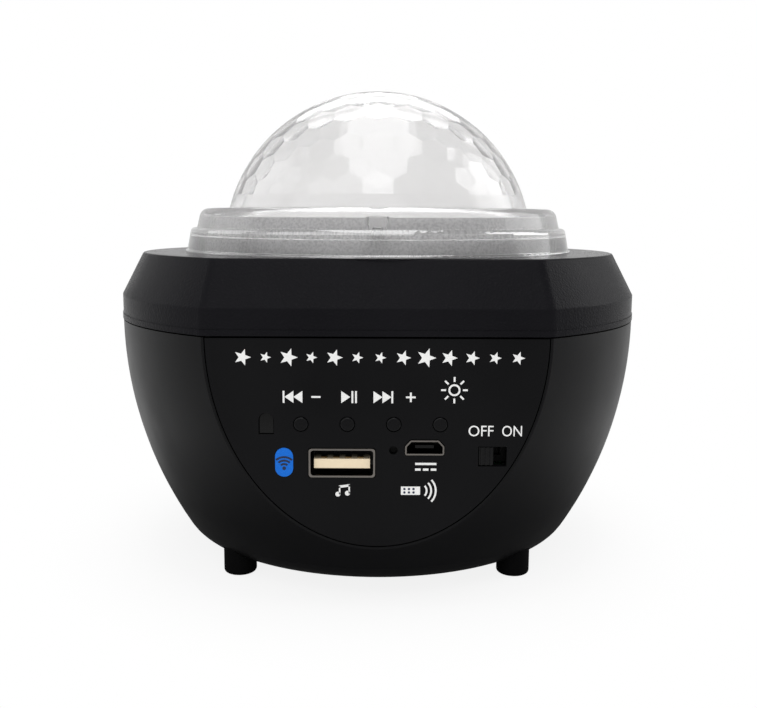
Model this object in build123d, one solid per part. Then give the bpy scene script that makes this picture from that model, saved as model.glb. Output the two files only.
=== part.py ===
"""Desk light projector: a round black case with a flat control front under a clear faceted dome.

Millimetres, +Z up, front towards -Y. Everything is drawn about the dome's own axis with the
floor at zero. The last lines move the pieces so that the origin is the middle of the footprint.
"""
from build123d import *
from math import atan2, cos, pi, radians, sin, sqrt
import os

# Case as a whole
front_cut = 10.3
corner_round = 3.2
shell_wall = 2.4
shell_fit = 0.25
seam_height = 54.9
seam_gap = 0.3
overrun = 1.0

# Top cover
lip_proud = 0.15
lip_height = 1.2
band_height = 5.4
slope_height = 9.4
slope_inset = 4.9
slope_round = 0.6
band_round = 0.5
rib_depth = 2.6
rib_thickness = 1.5
rib_root = 2.0
cover_post_radius = 3.6

# Bottom bowl
bowl_base_round = 8.3
bowl_underside = 3.0
bowl_edge_round = 0.4
front_wall = 3.2
post_wall = 2.0
post_web = 3.0
grille_pitch = 4.4
grille_hole_radius = 1.1
grille_rings = 3

# Feet and the screws behind them
foot_reach = 2.9
post_gap = 3.45
foot_radius = 3.6
foot_length = 9.0
foot_round = 0.8
foot_fit = 0.05
case_screw_radius = 1.4
case_screw_length = 12.0
case_head_radius = 2.6
case_head_height = 1.9
head_gap = 0.3
screw_fit = 0.05
hole_fit = 0.2
recess_width_share = 0.3
recess_depth_share = 0.5

# Small screws of the boards, the motor, the speaker and the dome
small_screw_radius = 1.0
small_head_radius = 2.0
small_head_height = 1.4

# Front panel
panel_set_back = 0.25
panel_thickness = 1.8
panel_rim = 0.25
panel_ledge = 0.6
panel_gap = 0.12
board_standoff = 8.0
standoff_radius = 2.4
standoff_upper_shares = (0.7617, 0.8037)
standoff_lower_shares = (0.3662, 0.2193)
control_fit = 0.15

# Push buttons
button_names = ("previous", "play", "next", "light")
button_first_shares = (-0.438, 0.6003)
button_pitch_share = 0.2674
button_radius = 1.42
button_proud = 0.25
button_round = 0.3
button_fit = 0.12
button_flange_radius = 2.1
button_flange_thickness = 0.8
button_stem_radius = 1.1
button_travel = 0.4
tact_width = 4.2
tact_depth = 2.4
plunger_radius = 1.0
plunger_reach = 1.7
plunger_fit = 0.06
plunger_seat = 1.0

# Slide switch
switch_shares = (0.6679, 0.4507)
switch_travel = 2.4
slot_fit = 0.2
knob_width = 2.8
knob_height = 3.6
knob_recess = 0.4
knob_depth = 3.2
knob_rib_count = 3
knob_rib_width = 0.35
knob_rib_rise = 0.3
stem_width = 1.6
stem_height = 1.8
stem_engage = 1.8
switch_width = 9.0
switch_height = 4.6
switch_depth = 4.4

# Type A socket
usb_shares = (-0.2022, 0.418)
usb_width = 13.1
usb_height = 5.8
usb_sheet = 0.35
usb_corner = 0.6
usb_proud = 0.2
tongue_side = 0.65
tongue_thickness = 1.9
tongue_drop = 0.35
tongue_recess = 0.9
tongue_base = 2.4
contact_count = 4
contact_pitch = 2.4
contact_width = 1.2
contact_thickness = 0.2
contact_recess = 0.8
socket_fit = 0.05

# Supply inlet
inlet_height_share = 0.4916
inlet_gap = 0.36
inlet_width = 7.7
inlet_height = 3.0
inlet_slope_width = 1.1
inlet_slope_height = 1.2
inlet_corner = 0.4
inlet_sheet = 0.3
inlet_tongue_width = 3.7
inlet_tongue_thickness = 0.6

# Remote control eye, microphone and blue badge
eye_shares = (-0.6369, 0.6026)
eye_width = 2.7
eye_height = 4.0
eye_recess = 0.5
eye_body_width = 5.4
eye_body_height = 6.4
eye_body_depth = 2.7
lead_pin_width = 0.5
eye_pin_count = 3
eye_pin_pitch = 1.6
part_gap = 0.2
mic_height_share = 0.4787
mic_gap = 1.66
mic_hole_radius = 0.85
mic_radius = 1.95
mic_depth = 2.2
mic_pin_pitch = 1.8
badge_shares = (-0.5361, 0.4203)
badge_width = 3.55
badge_height = 5.85
badge_thickness = 0.65
badge_proud = 0.05

# Control board
board_width_share = 0.8495
board_bottom_share = 0.1491
board_top_share = 0.8855
board_thickness = 1.6
board_chamfer = 9.0
chip_shares = (-0.2636, 0.605)
chip_width = 9.0
chip_height = 1.4
amplifier_shares = (0.5273, 0.6751)
amplifier_width = 5.0
capacitor_shares = (0.5273, 0.418)
capacitor_pitch = 7.0
capacitor_radius = 2.5
capacitor_length = 3.6
header_width = 7.5
header_height = 4.0
header_depth = 5.0
speaker_header_shares = (0.0879, 0.2777)
lamp_header_shares = (-0.2344, 0.8037)
lead_radius = 0.8
lead_bend_share = 0.45
lamp_lead_run = 7.5

# Speaker
speaker_post_height = 2.6
speaker_post_radius = 3.0
speaker_hole_reach = 0.5
speaker_flange_margin = 3.5
speaker_flange_corner = 4.0
speaker_flange_thickness = 1.6
speaker_mouth_radius = 17.0
basket_reach = 2.4
basket_height = 10.0
basket_wall = 1.2
basket_collar = 1.5
magnet_radius = 11.0
magnet_height = 7.0
cone_seat = 0.7
cone_neck_radius = 5.0
cone_depth = 6.0
cone_sheet = 0.6
gasket_width = 3.0
tag_width = 5.0
tag_length = 2.4
tag_height = 2.4
speaker_screw_length = 3.6

# Clear dome and its stepped rim
rim_shelf = 10.0
rim_step = 2.3
rim_low_height = 5.6
rim_low_draft = 1.0
rim_low_round = 1.0
rim_bead_height = 0.6
rim_bead_reach = 0.4
rim_bead_round = 0.35
rim_ledge_width = 6.4
rim_high_height = 4.4
rim_high_draft = 1.1
rim_high_round = 2.2
rim_wall = 2.2
dome_gap = 1.4
dome_rise = 0.6
dome_wall = 2.4
plain_wall = 2.5
facet_frequency = 7
facet_start = 2.6
boss_reach = 2.0
boss_radius = 2.4
boss_count = 4
dome_screw_length = 10.5

# Lamp tray
pinion_clear = 0.9
tray_wall = 1.6
tray_rise = 7.4
tray_depth = 21.0
tray_floor = 2.0
tray_fit = 0.3
ear_thickness = 2.4
ear_width = 8.0
ear_margin = 3.2

# Lamp board
lamp_board_margin = 2.9
lamp_board_thickness = 1.6
led_count = 4
led_circle_radius = 12.0
led_width = 5.0
led_height = 1.4
lens_base_radius = 3.0
lens_mouth_radius = 6.4
lens_height = 7.0
lamp_screw_circle = 22.0
lamp_screw_count = 3

# Turning light effect
gear_rim = 1.3
disc_thickness = 2.2
disc_height = 10.6
disc_fit = 0.05
hub_radius = 4.0
hub_below = 1.0
hub_above = 1.2
axle_radius = 1.5
axle_collar_radius = 3.0
axle_fit = 0.05
axle_head = 1.2
clip_radius = 3.0
clip_thickness = 0.8
clip_gap = 0.1
ripple_rings = 3
ripple_edge = 2.1
ripple_radius = 2.1
ripple_rise = 0.7
gear_module = 1.0
gear_teeth = 46
pinion_teeth = 9
gear_addendum_share = 0.9
gear_dedendum_share = 1.2
gear_centre_gap = 0.1
gear_lip = 1.0
gear_lip_thickness = 1.2
tooth_root_share = 0.31
tooth_tip_share = 0.09
pinion_overlap = 0.5
motor_radius = 8.0
motor_height = 12.0
motor_ear_margin = 3.0
motor_ear_width = 7.0
motor_ear_thickness = 1.2
motor_head_gap = 0.3
motor_pin_spacing = 5.0
motor_shaft_radius = 1.0
motor_shaft_engage = 5.0
motor_shaft_fit = 0.05

# The light effect sets the tray, the tray the dome, the dome the case
gear_pitch_radius = gear_module * gear_teeth / 2
pinion_pitch_radius = gear_module * pinion_teeth / 2
pinion_crest = pinion_pitch_radius + gear_module * gear_addendum_share
motor_distance = gear_pitch_radius + pinion_pitch_radius + gear_centre_gap
disc_radius = gear_pitch_radius - gear_module * gear_dedendum_share - gear_rim
ripple_pitch = (disc_radius - hub_radius - ripple_edge) / ripple_rings
tray_radius = motor_distance + pinion_crest + pinion_clear + tray_wall
lamp_board_radius = tray_radius - tray_wall - lamp_board_margin
motor_hole_spacing = 2 * (motor_radius + motor_head_gap + small_head_radius)
motor_ear_length = motor_hole_spacing + 2 * motor_ear_margin
dome_radius = tray_radius + dome_gap
boss_circle_radius = dome_radius + boss_reach
rim_high_radius = dome_radius + rim_ledge_width
rim_low_radius = rim_high_radius + rim_step
band_radius = rim_low_radius + rim_shelf + slope_inset
band_flat = band_radius - front_cut
foot_circle = tray_radius + tray_fit + post_gap + cover_post_radius
foot_spacing = foot_circle * sqrt(2)

# The bowl's wall is the arc that is upright at the seam and touches the round of its base
bowl_radius = band_radius
bowl_base_circle = foot_circle - foot_reach
wall_run = bowl_radius - bowl_base_circle
wall_drop = seam_height - bowl_underside - bowl_base_round
bowl_arc_radius = (wall_run**2 + wall_drop**2 - bowl_base_round**2) / (2 * (wall_run - bowl_base_round))

# The panel is the part of the bowl's form that the flat front cuts, a little behind the cover's flat
panel_cut = front_cut + panel_set_back
panel_half = sqrt(panel_cut * (2 * bowl_radius - panel_cut))
panel_height = sqrt(panel_cut * (2 * bowl_arc_radius - panel_cut))
panel_low = seam_height - panel_height


def panel_place(shares):
    """Place on the panel: share of its half width from the middle, share of its height from its foot."""
    return (panel_half * shares[0], panel_low + panel_height * shares[1])


button_x, button_z = panel_place(button_first_shares)
button_xs = [button_x + panel_half * button_pitch_share * i for i in range(len(button_names))]
switch_x, switch_z = panel_place(switch_shares)
switch_slot_width = knob_width + switch_travel + 2 * slot_fit
switch_slot_height = knob_height + 2 * slot_fit
usb_x, usb_z = panel_place(usb_shares)
tongue_width = usb_width - 2 * (usb_sheet + tongue_side)
mic_x = usb_x + usb_width / 2 + mic_gap + mic_radius
mic_z = panel_low + panel_height * mic_height_share
inlet_x = mic_x + mic_radius + inlet_gap + inlet_width / 2
inlet_z = panel_low + panel_height * inlet_height_share
eye_x, eye_z = panel_place(eye_shares)
badge_x, badge_z = panel_place(badge_shares)
chip_x, chip_z = panel_place(chip_shares)
amplifier_x, amplifier_z = panel_place(amplifier_shares)
capacitor_x, capacitor_z = panel_place(capacitor_shares)
speaker_header_x, speaker_header_z = panel_place(speaker_header_shares)
lamp_header_x, lamp_header_z = panel_place(lamp_header_shares)
board_half = panel_half * board_width_share
board_bottom = panel_low + panel_height * board_bottom_share
board_top = panel_low + panel_height * board_top_share

# Heights and depths that follow from the sizes above
bowl_flat = band_flat - panel_set_back
cover_base = seam_height + seam_gap
band_top = cover_base + band_height
cover_top = band_top + slope_height
cover_ceiling = cover_top - shell_wall
bowl_floor = bowl_underside + shell_wall
pocket_top = foot_length + head_gap + case_head_height
post_top = pocket_top + post_web
panel_face = -bowl_flat
panel_back = panel_face + panel_thickness
board_front = panel_back + board_standoff
board_back = board_front + board_thickness
ledge_back = panel_face + front_wall
dome_centre = cover_top + dome_rise
rim_ledge = cover_top + rim_low_height
rim_top = rim_ledge + rim_high_height
facet_foot = rim_top + facet_start
tray_top = cover_top + tray_rise
tray_floor_top = tray_top - tray_depth
tray_underside = tray_floor_top - tray_floor
lamp_top = tray_floor_top + lamp_board_thickness
disc_base = lamp_top + disc_height
disc_top = disc_base + disc_thickness
hub_base = disc_base - hub_below
hub_top = disc_top + hub_above
gear_base = disc_base - gear_lip_thickness
flange_base = bowl_floor + speaker_post_height
flange_top = flange_base + speaker_flange_thickness
collar_top = flange_top + basket_collar
basket_top = flange_top + basket_height
cone_rim_radius = speaker_mouth_radius + cone_seat
basket_radius = speaker_mouth_radius + basket_reach
gasket_outer_radius = speaker_mouth_radius + gasket_width
speaker_hole_spacing = 2 * (speaker_mouth_radius + speaker_hole_reach)
speaker_flange_width = speaker_hole_spacing + 2 * speaker_flange_margin
foot_places = {
    "front_left": (-foot_spacing / 2, -foot_spacing / 2),
    "front_right": (foot_spacing / 2, -foot_spacing / 2),
    "rear_left": (-foot_spacing / 2, foot_spacing / 2),
    "rear_right": (foot_spacing / 2, foot_spacing / 2),
}
standoff_places = [
    (side * x, z)
    for x, z in (panel_place(standoff_upper_shares), panel_place(standoff_lower_shares))
    for side in (-1, 1)
]


def block(low, high):
    """Box between two opposite corners."""
    size = [b - a for a, b in zip(low, high)]
    return Pos(*low) * Box(*size, align=(Align.MIN, Align.MIN, Align.MIN))


def rod(radius, low, high, place=(0, 0)):
    """Upright cylinder between two heights."""
    return Pos(*place, low) * Cylinder(
        radius, high - low, align=(Align.CENTER, Align.CENTER, Align.MIN)
    )


def ring(outer, inner, low, high):
    """Upright tube between two heights."""
    return rod(outer, low, high) - rod(inner, low - overrun, high + overrun)


def plate(outline, front, back):
    """Outline drawn in X and Z, given depth from front to back along Y."""
    plane = Plane(origin=(0, front, 0), x_dir=(1, 0, 0), z_dir=(0, -1, 0))
    return extrude(plane * outline, amount=front - back)


def peg(radius, front, back, x, z):
    """Cylinder that lies along Y."""
    return plate(Pos(x, z) * Circle(radius), front, back)


def turned(points):
    """Solid of revolution about Z from an outline of radius and height."""
    return revolve(Plane.XZ * make_face(Polyline(*points, close=True)), axis=Axis.Z)


def round_places(count, radius, start=0.0):
    """Places spread evenly on a circle, the first at the start angle in degrees."""
    angles = [radians(start + 360 * i / count) for i in range(count)]
    return [(radius * cos(a), radius * sin(a)) for a in angles]


def screw(radius, length, head_radius, head_height):
    """Pan head screw with a cross recess; its shank runs up from the bearing face at zero."""
    body = rod(head_radius, -head_height, 0) + rod(radius, 0, length)
    half = head_radius * recess_width_share / 2
    depth = head_height * recess_depth_share
    reach = head_radius - half
    low = -head_height - overrun
    for x, y in ((half, reach), (reach, half)):
        body -= block((-x, -y, low), (x, y, depth - head_height))
    return body


def small_screw(length):
    return screw(small_screw_radius, length, small_head_radius, small_head_height)


def bowl_form(inset, front):
    """The bowl's solid form with its surface moved in by inset and its front cut flat.

    It runs straight up past the seam, so that whatever is made from it is trimmed there.
    """
    arc = bowl_arc_radius - inset
    base_round = bowl_base_round - inset
    centre_r = bowl_radius - bowl_arc_radius
    low = bowl_underside + inset
    lean = atan2(wall_drop, bowl_base_circle - centre_r)

    def on_wall(angle):
        return (centre_r + arc * cos(angle), seam_height - arc * sin(angle))

    def on_round(angle):
        return (bowl_base_circle + base_round * cos(angle), low + base_round - base_round * sin(angle))

    top = seam_height + overrun
    edges = [
        Line((0, low), on_round(pi / 2)),
        ThreePointArc(on_round(pi / 2), on_round((lean + pi / 2) / 2), on_wall(lean)),
        ThreePointArc(on_wall(lean), on_wall(lean / 2), on_wall(0)),
        Line(on_wall(0), (bowl_radius - inset, top)),
        Line((bowl_radius - inset, top), (0, top)),
        Line((0, top), (0, low)),
    ]
    form = revolve(Plane.XZ * make_face(edges), axis=Axis.Z)
    span = bowl_radius + overrun
    return form & block((-span, -front, 0), (span, span, top + overrun))


def front_outline(inset):
    """Where the flat front cuts the bowl's form, as a face in the panel's plane."""
    form = bowl_form(inset, bowl_flat + overrun)
    return section(form, section_by=Plane.XZ.offset(bowl_flat))


def flat_front_face(radius, flat, height):
    """Circle with a straight front edge and two softened corners, at a height."""
    x = sqrt((radius - corner_round) ** 2 - (flat - corner_round) ** 2)
    y = corner_round - flat
    stretch = radius / (radius - corner_round)
    lean = (atan2(y, x) - pi / 2) / 2
    mid = (x + corner_round * cos(lean), y + corner_round * sin(lean))
    end = (x * stretch, y * stretch)
    edges = [
        Line((-x, -flat), (x, -flat)),
        ThreePointArc((x, -flat), mid, end),
        RadiusArc(end, (0, radius), -radius),
        RadiusArc((0, radius), (-end[0], end[1]), -radius),
        ThreePointArc((-end[0], end[1]), (-mid[0], mid[1]), (-x, -flat)),
    ]
    return Pos(0, 0, height) * make_face(edges)


def flat_front_prism(radius, flat, low, high):
    return extrude(flat_front_face(radius, flat, low), amount=high - low)


def make_bottom_bowl():
    outer = bowl_form(0, bowl_flat)
    outer = fillet(outer.faces().sort_by(Axis.Y)[0].edges().sort_by(Axis.Z)[:-1], bowl_edge_round)
    span = bowl_radius + overrun
    outer &= block((-span, -span, 0), (span, span, seam_height))
    bowl = outer - bowl_form(shell_wall, bowl_flat - front_wall)
    inward = Vector(0, 1, 0)
    bowl -= extrude(front_outline(panel_rim), amount=panel_thickness, dir=inward)
    bowl -= extrude(front_outline(panel_rim + panel_ledge), amount=front_wall + overrun, dir=inward)
    half_width = switch_slot_width / 2 + control_fit
    half_height = switch_slot_height / 2 + control_fit
    bowl -= block(
        (switch_x - half_width, panel_back, switch_z - half_height),
        (switch_x + half_width, ledge_back + overrun, switch_z + half_height),
    )
    pocket_radius = foot_radius + foot_fit
    for place in foot_places.values():
        bowl += rod(pocket_radius + post_wall, bowl_underside, post_top, place) & outer
    for place in foot_places.values():
        bowl -= rod(pocket_radius, 0, pocket_top, place)
        bowl -= rod(case_screw_radius + hole_fit, 0, post_top + overrun, place)
    for place in speaker_screw_places():
        bowl += rod(speaker_post_radius, bowl_underside + shell_wall / 2, flange_base, place)
    for place in speaker_screw_places():
        bowl -= rod(small_screw_radius + screw_fit, bowl_floor, flange_base + overrun, place)
    holes = [rod(grille_hole_radius, 0, bowl_floor + overrun)]
    for step in range(1, grille_rings + 1):
        for place in round_places(6 * step, grille_pitch * step):
            holes.append(rod(grille_hole_radius, 0, bowl_floor + overrun, place))
    return bowl - holes


def make_foot(place):
    foot = rod(foot_radius, 0, foot_length)
    foot = fillet(foot.edges().sort_by(Axis.Z)[0], foot_round)
    return Pos(*place) * foot


def make_case_screws():
    one = screw(case_screw_radius, case_screw_length, case_head_radius, case_head_height)
    return [Pos(*place, pocket_top) * one for place in foot_places.values()]


def make_top_cover():
    lip = flat_front_prism(
        band_radius + lip_proud, band_flat + lip_proud, cover_base, cover_base + lip_height
    )
    band = flat_front_prism(band_radius, band_flat, cover_base, band_top)
    slope = loft(
        [
            flat_front_face(band_radius, band_flat, band_top),
            flat_front_face(band_radius - slope_inset, band_flat - slope_inset, cover_top),
        ],
        ruled=True,
    )
    slope = fillet(slope.faces().sort_by(Axis.Z)[-1].edges(), slope_round)
    inner_radius = band_radius - shell_wall
    inner_flat = band_flat - shell_wall
    hollow = flat_front_prism(inner_radius, inner_flat, cover_base - overrun, band_top)
    hollow += loft(
        [
            flat_front_face(inner_radius, inner_flat, band_top),
            flat_front_face(inner_radius - slope_inset, inner_flat - slope_inset, cover_ceiling),
        ],
        ruled=True,
    )
    outer = lip + band + slope
    outer = fillet(outer.edges().filter_by_position(Axis.Z, band_top, band_top), band_round)
    cover = outer - hollow
    rib_radius = bowl_radius - shell_wall - shell_fit
    rib_flat = bowl_flat - front_wall - shell_fit
    rib_low = seam_height - rib_depth
    root_top = cover_base + rib_root
    rib = flat_front_prism(rib_radius, rib_flat, rib_low, root_top)
    rib += flat_front_prism(
        band_radius - shell_wall / 2, band_flat - shell_wall / 2, cover_base, root_top
    )
    rib -= flat_front_prism(
        rib_radius - rib_thickness, rib_flat - rib_thickness, rib_low - overrun, root_top + overrun
    )
    cover += rib
    for place in foot_places.values():
        cover += rod(cover_post_radius, post_top, cover_top - shell_wall / 2, place)
    cover -= rod(tray_radius + tray_fit, cover_ceiling - overrun, cover_top + overrun)
    thread_top = pocket_top + case_screw_length + overrun
    for place in foot_places.values():
        cover -= rod(case_screw_radius + screw_fit, post_top - overrun, thread_top, place)
    for place in boss_places():
        hole_radius = small_screw_radius + hole_fit
        cover -= rod(hole_radius, cover_ceiling - overrun, cover_top + overrun, place)
    return cover


def boss_places():
    return round_places(boss_count, boss_circle_radius, 90)


def facet_corners(radius):
    """Corners of a cage of hexagons that all touch a sphere, above its middle.

    A twenty-sided solid is divided into small triangles on the sphere. Each small triangle
    gives one corner: the point where the planes that touch the sphere at its three tips meet.
    """
    golden = (1 + sqrt(5)) / 2
    tips = []
    for a in (-1, 1):
        for b in (-golden, golden):
            tips += [Vector(0, a, b), Vector(a, b, 0), Vector(b, 0, a)]
    lean = Rot(-atan2(1, golden) * 180 / pi, 0, 0)
    tips = [Vector(*(lean * Pos(*tip)).position) for tip in tips]
    side = 2.0 + 1e-6
    faces = [
        (p, q, r)
        for i, p in enumerate(tips)
        for j, q in enumerate(tips[i + 1 :], i + 1)
        for r in tips[j + 1 :]
        if max((p - q).length, (q - r).length, (r - p).length) < side
    ]
    corners = []
    steps = facet_frequency
    for p, q, r in faces:

        def tip(i, j):
            return (p * (steps - i - j) + q * i + r * j).normalized()

        small = [
            (tip(i, j), tip(i + 1, j), tip(i, j + 1))
            for i in range(steps)
            for j in range(steps - i)
        ]
        small += [
            (tip(i + 1, j), tip(i + 1, j + 1), tip(i, j + 1))
            for i in range(steps - 1)
            for j in range(steps - 1 - i)
        ]
        for a, b, c in small:
            normal = b.cross(c) + c.cross(a) + a.cross(b)
            corner = normal * (radius / a.dot(b.cross(c)))
            if corner.Z >= 0:
                corners.append(tuple(corner))
    return corners


def make_clear_dome():
    foot_of_dome = sqrt(dome_radius**2 - (rim_top - dome_centre) ** 2)
    lean = atan2(rim_top - dome_centre, foot_of_dome)
    middle = (lean + pi / 2) / 2
    bead_top = cover_top + rim_bead_height
    bead_corner = (rim_low_radius + rim_bead_reach, bead_top)
    low_shoulder = (rim_low_radius - rim_low_draft, rim_ledge)
    high_shoulder = (rim_high_radius - rim_high_draft, rim_top)
    edges = [
        Polyline(
            (0, cover_top),
            (rim_low_radius + rim_bead_reach, cover_top),
            bead_corner,
            (rim_low_radius, bead_top),
            low_shoulder,
            (rim_high_radius, rim_ledge),
            high_shoulder,
            (foot_of_dome, rim_top),
        ),
        ThreePointArc(
            (foot_of_dome, rim_top),
            (dome_radius * cos(middle), dome_centre + dome_radius * sin(middle)),
            (0, dome_centre + dome_radius),
        ),
        Line((0, dome_centre + dome_radius), (0, cover_top)),
    ]
    outline = make_face(edges)
    softened = {bead_corner: rim_bead_round, low_shoulder: rim_low_round, high_shoulder: rim_high_round}
    for shoulder, shoulder_round in softened.items():
        corner = outline.vertices().sort_by_distance((*shoulder, 0))[0]
        outline = fillet(corner, shoulder_round)
    dome = revolve(Plane.XZ * outline, axis=Axis.Z)
    dome -= turned(
        [
            (0, cover_top - overrun),
            (rim_low_radius - rim_wall, cover_top - overrun),
            (rim_low_radius - rim_wall, rim_ledge - rim_wall),
            (rim_high_radius - rim_wall, rim_ledge - rim_wall),
            (rim_high_radius - rim_high_draft - rim_wall, rim_top - rim_wall),
            (0, rim_top - rim_wall),
        ]
    )
    cage = ConvexPolyhedron(facet_corners(dome_radius - dome_wall))
    upper = rim_top - rim_wall - overrun
    cage = Pos(0, 0, dome_centre) * cage
    cage &= rod(dome_radius, facet_foot, dome_centre + dome_radius)
    dome -= cage
    plain = Pos(0, 0, dome_centre) * Sphere(dome_radius - plain_wall)
    plain &= rod(dome_radius, upper, facet_foot + overrun)
    dome -= plain
    for place in boss_places():
        dome += rod(boss_radius, cover_top, rim_top - rim_wall / 2, place)
    thread_top = cover_ceiling - ear_thickness + dome_screw_length + screw_fit
    for place in boss_places():
        dome -= rod(small_screw_radius + screw_fit, cover_top - overrun, thread_top, place)
    return dome


def make_dome_screws():
    seat = cover_ceiling - ear_thickness
    return [Pos(*place, seat) * small_screw(dome_screw_length) for place in boss_places()]


def make_lamp_tray():
    tray = rod(tray_radius, tray_underside, tray_top)
    for angle in [90 + 360 * i / boss_count for i in range(boss_count)]:
        ear = block(
            (tray_radius - tray_wall, -ear_width / 2, cover_ceiling - ear_thickness),
            (boss_circle_radius + ear_margin, ear_width / 2, cover_ceiling),
        )
        tray += Rot(0, 0, angle) * ear
    tray -= rod(tray_radius - tray_wall, tray_floor_top, tray_top + overrun)
    for place in boss_places():
        hole_radius = small_screw_radius + hole_fit
        tray -= rod(hole_radius, cover_ceiling - ear_thickness - overrun, cover_top, place)
    low = tray_underside - overrun
    high = tray_floor_top + overrun
    tray -= rod(motor_shaft_radius + hole_fit, low, high, (0, motor_distance))
    tray -= rod(axle_radius + screw_fit, low, high)
    tray -= rod(lead_radius + hole_fit, low, high, (lamp_header_x, -lamp_lead_distance()))
    for place in motor_screw_places() + lamp_screw_places():
        tray -= rod(small_screw_radius + screw_fit, low, high, place)
    for place in motor_pin_places():
        tray -= rod(lead_pin_width / 2 + hole_fit, low, high, place)
    return tray


def lamp_lead_distance():
    """How far in front of the dome's axis the lamp lead goes up through the tray."""
    return -(board_back + header_depth) - lamp_lead_run


def motor_screw_places():
    return [(side * motor_hole_spacing / 2, motor_distance) for side in (-1, 1)]


def motor_pin_places():
    half = motor_pin_spacing / 2
    return [(side * half, motor_distance - motor_radius / 2) for side in (-1, 1)]


def lamp_screw_places():
    return round_places(lamp_screw_count, lamp_screw_circle, 30)


def make_lamp_board():
    board = rod(lamp_board_radius, tray_floor_top, lamp_top)
    board -= rod(axle_radius + screw_fit, tray_floor_top - overrun, lamp_top + overrun)
    shaft_hole = motor_shaft_radius + hole_fit
    board -= rod(shaft_hole, tray_floor_top - overrun, lamp_top + overrun, (0, motor_distance))
    for place in lamp_screw_places():
        hole_radius = small_screw_radius + hole_fit
        board -= rod(hole_radius, tray_floor_top - overrun, lamp_top + overrun, place)
    return board


def make_lamp_screws():
    one = Pos(0, 0, lamp_top) * Rot(180, 0, 0) * small_screw(lamp_board_thickness + tray_floor)
    return [Pos(*place) * one for place in lamp_screw_places()]


def led_places():
    return round_places(led_count, led_circle_radius, 45)


def make_leds():
    half = led_width / 2
    one = block((-half, -half, lamp_top), (half, half, lamp_top + led_height))
    return [Pos(*place) * one for place in led_places()]


def make_led_lenses():
    base = lamp_top + led_height
    one = turned(
        [
            (0, base),
            (lens_base_radius, base),
            (lens_mouth_radius, base + lens_height),
            (0, base + lens_height),
        ]
    )
    return [Pos(*place) * one for place in led_places()]


def make_disc_axle():
    shoulder_top = hub_base - axle_fit
    axle = rod(axle_radius, tray_underside, hub_top + clip_gap + clip_thickness + axle_head)
    return axle + rod(axle_collar_radius, lamp_top, shoulder_top)


def make_disc_clip():
    low = hub_top + clip_gap
    return ring(clip_radius, axle_radius + axle_fit, low, low + clip_thickness)


def make_effect_disc():
    disc = rod(disc_radius, disc_base, disc_top)
    disc += rod(hub_radius, hub_base, hub_top)
    sphere_radius = (ripple_radius**2 + ripple_rise**2) / (2 * ripple_rise)
    cap = Pos(0, 0, disc_top + ripple_rise - sphere_radius) * Sphere(sphere_radius)
    half = sphere_radius + overrun
    cap &= block((-half, -half, disc_top - ripple_rise), (half, half, disc_top + half))
    first_ripple = hub_radius + ripple_pitch / 2
    caps = []
    for step in range(1, ripple_rings + 1):
        start = 180 / (6 * step) if step % 2 else 0
        for place in round_places(6 * step, first_ripple + ripple_pitch * (step - 1), start):
            caps.append(Pos(*place) * cap)
    disc += caps
    return disc - rod(axle_radius + axle_fit, hub_base - overrun, hub_top + overrun)


def toothed_face(teeth):
    """Outline of a spur gear with straight flanks, one tooth centred on +X."""
    pitch_radius = gear_module * teeth / 2
    root = pitch_radius - gear_dedendum_share * gear_module
    crest = pitch_radius + gear_addendum_share * gear_module
    corners = [
        (root, -tooth_root_share),
        (crest, -tooth_tip_share),
        (crest, tooth_tip_share),
        (root, tooth_root_share),
    ]
    points = []
    for tooth in range(teeth):
        for radius, share in corners:
            angle = 2 * pi * (tooth + share) / teeth
            points.append((radius * cos(angle), radius * sin(angle)))
    return make_face(Polyline(*points, close=True))


def make_drive_gear():
    half_tooth = 180 / gear_teeth
    gear = extrude(Pos(0, 0, gear_base) * toothed_face(gear_teeth), amount=disc_top - gear_base)
    gear = Rot(0, 0, 90 + half_tooth) * gear
    gear -= rod(disc_radius - gear_lip, gear_base - overrun, disc_top + overrun)
    return gear - rod(disc_radius + disc_fit, disc_base, disc_top + overrun)


def make_motor_pinion():
    low = gear_base - pinion_overlap
    high = disc_top + pinion_overlap
    pinion = extrude(Pos(0, 0, low) * toothed_face(pinion_teeth), amount=high - low)
    pinion -= rod(motor_shaft_radius + screw_fit, low - overrun, high + overrun)
    return Pos(0, motor_distance) * Rot(0, 0, -90) * pinion


def make_motor_shaft():
    low = tray_underside - motor_shaft_engage
    return rod(motor_shaft_radius, low, disc_top + pinion_overlap, (0, motor_distance))


def make_gear_motor():
    motor = rod(motor_radius, tray_underside - motor_height, tray_underside)
    length = motor_ear_length / 2
    width = motor_ear_width / 2
    motor += block(
        (-length, -width, tray_underside - motor_ear_thickness), (length, width, tray_underside)
    )
    motor = Pos(0, motor_distance) * motor
    for place in motor_pin_places():
        motor += rod(lead_pin_width / 2, tray_underside - overrun, tray_floor_top, place)
    for place in motor_screw_places():
        hole_radius = small_screw_radius + hole_fit
        motor -= rod(hole_radius, tray_underside - motor_height, tray_underside, place)
    bore_low = tray_underside - motor_shaft_engage - motor_shaft_fit
    bore = motor_shaft_radius + motor_shaft_fit
    return motor - rod(bore, bore_low, tray_underside + overrun, (0, motor_distance))


def make_motor_screws():
    seat = tray_underside - motor_ear_thickness
    one = small_screw(motor_ear_thickness + tray_floor)
    return [Pos(*place, seat) * one for place in motor_screw_places()]


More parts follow.
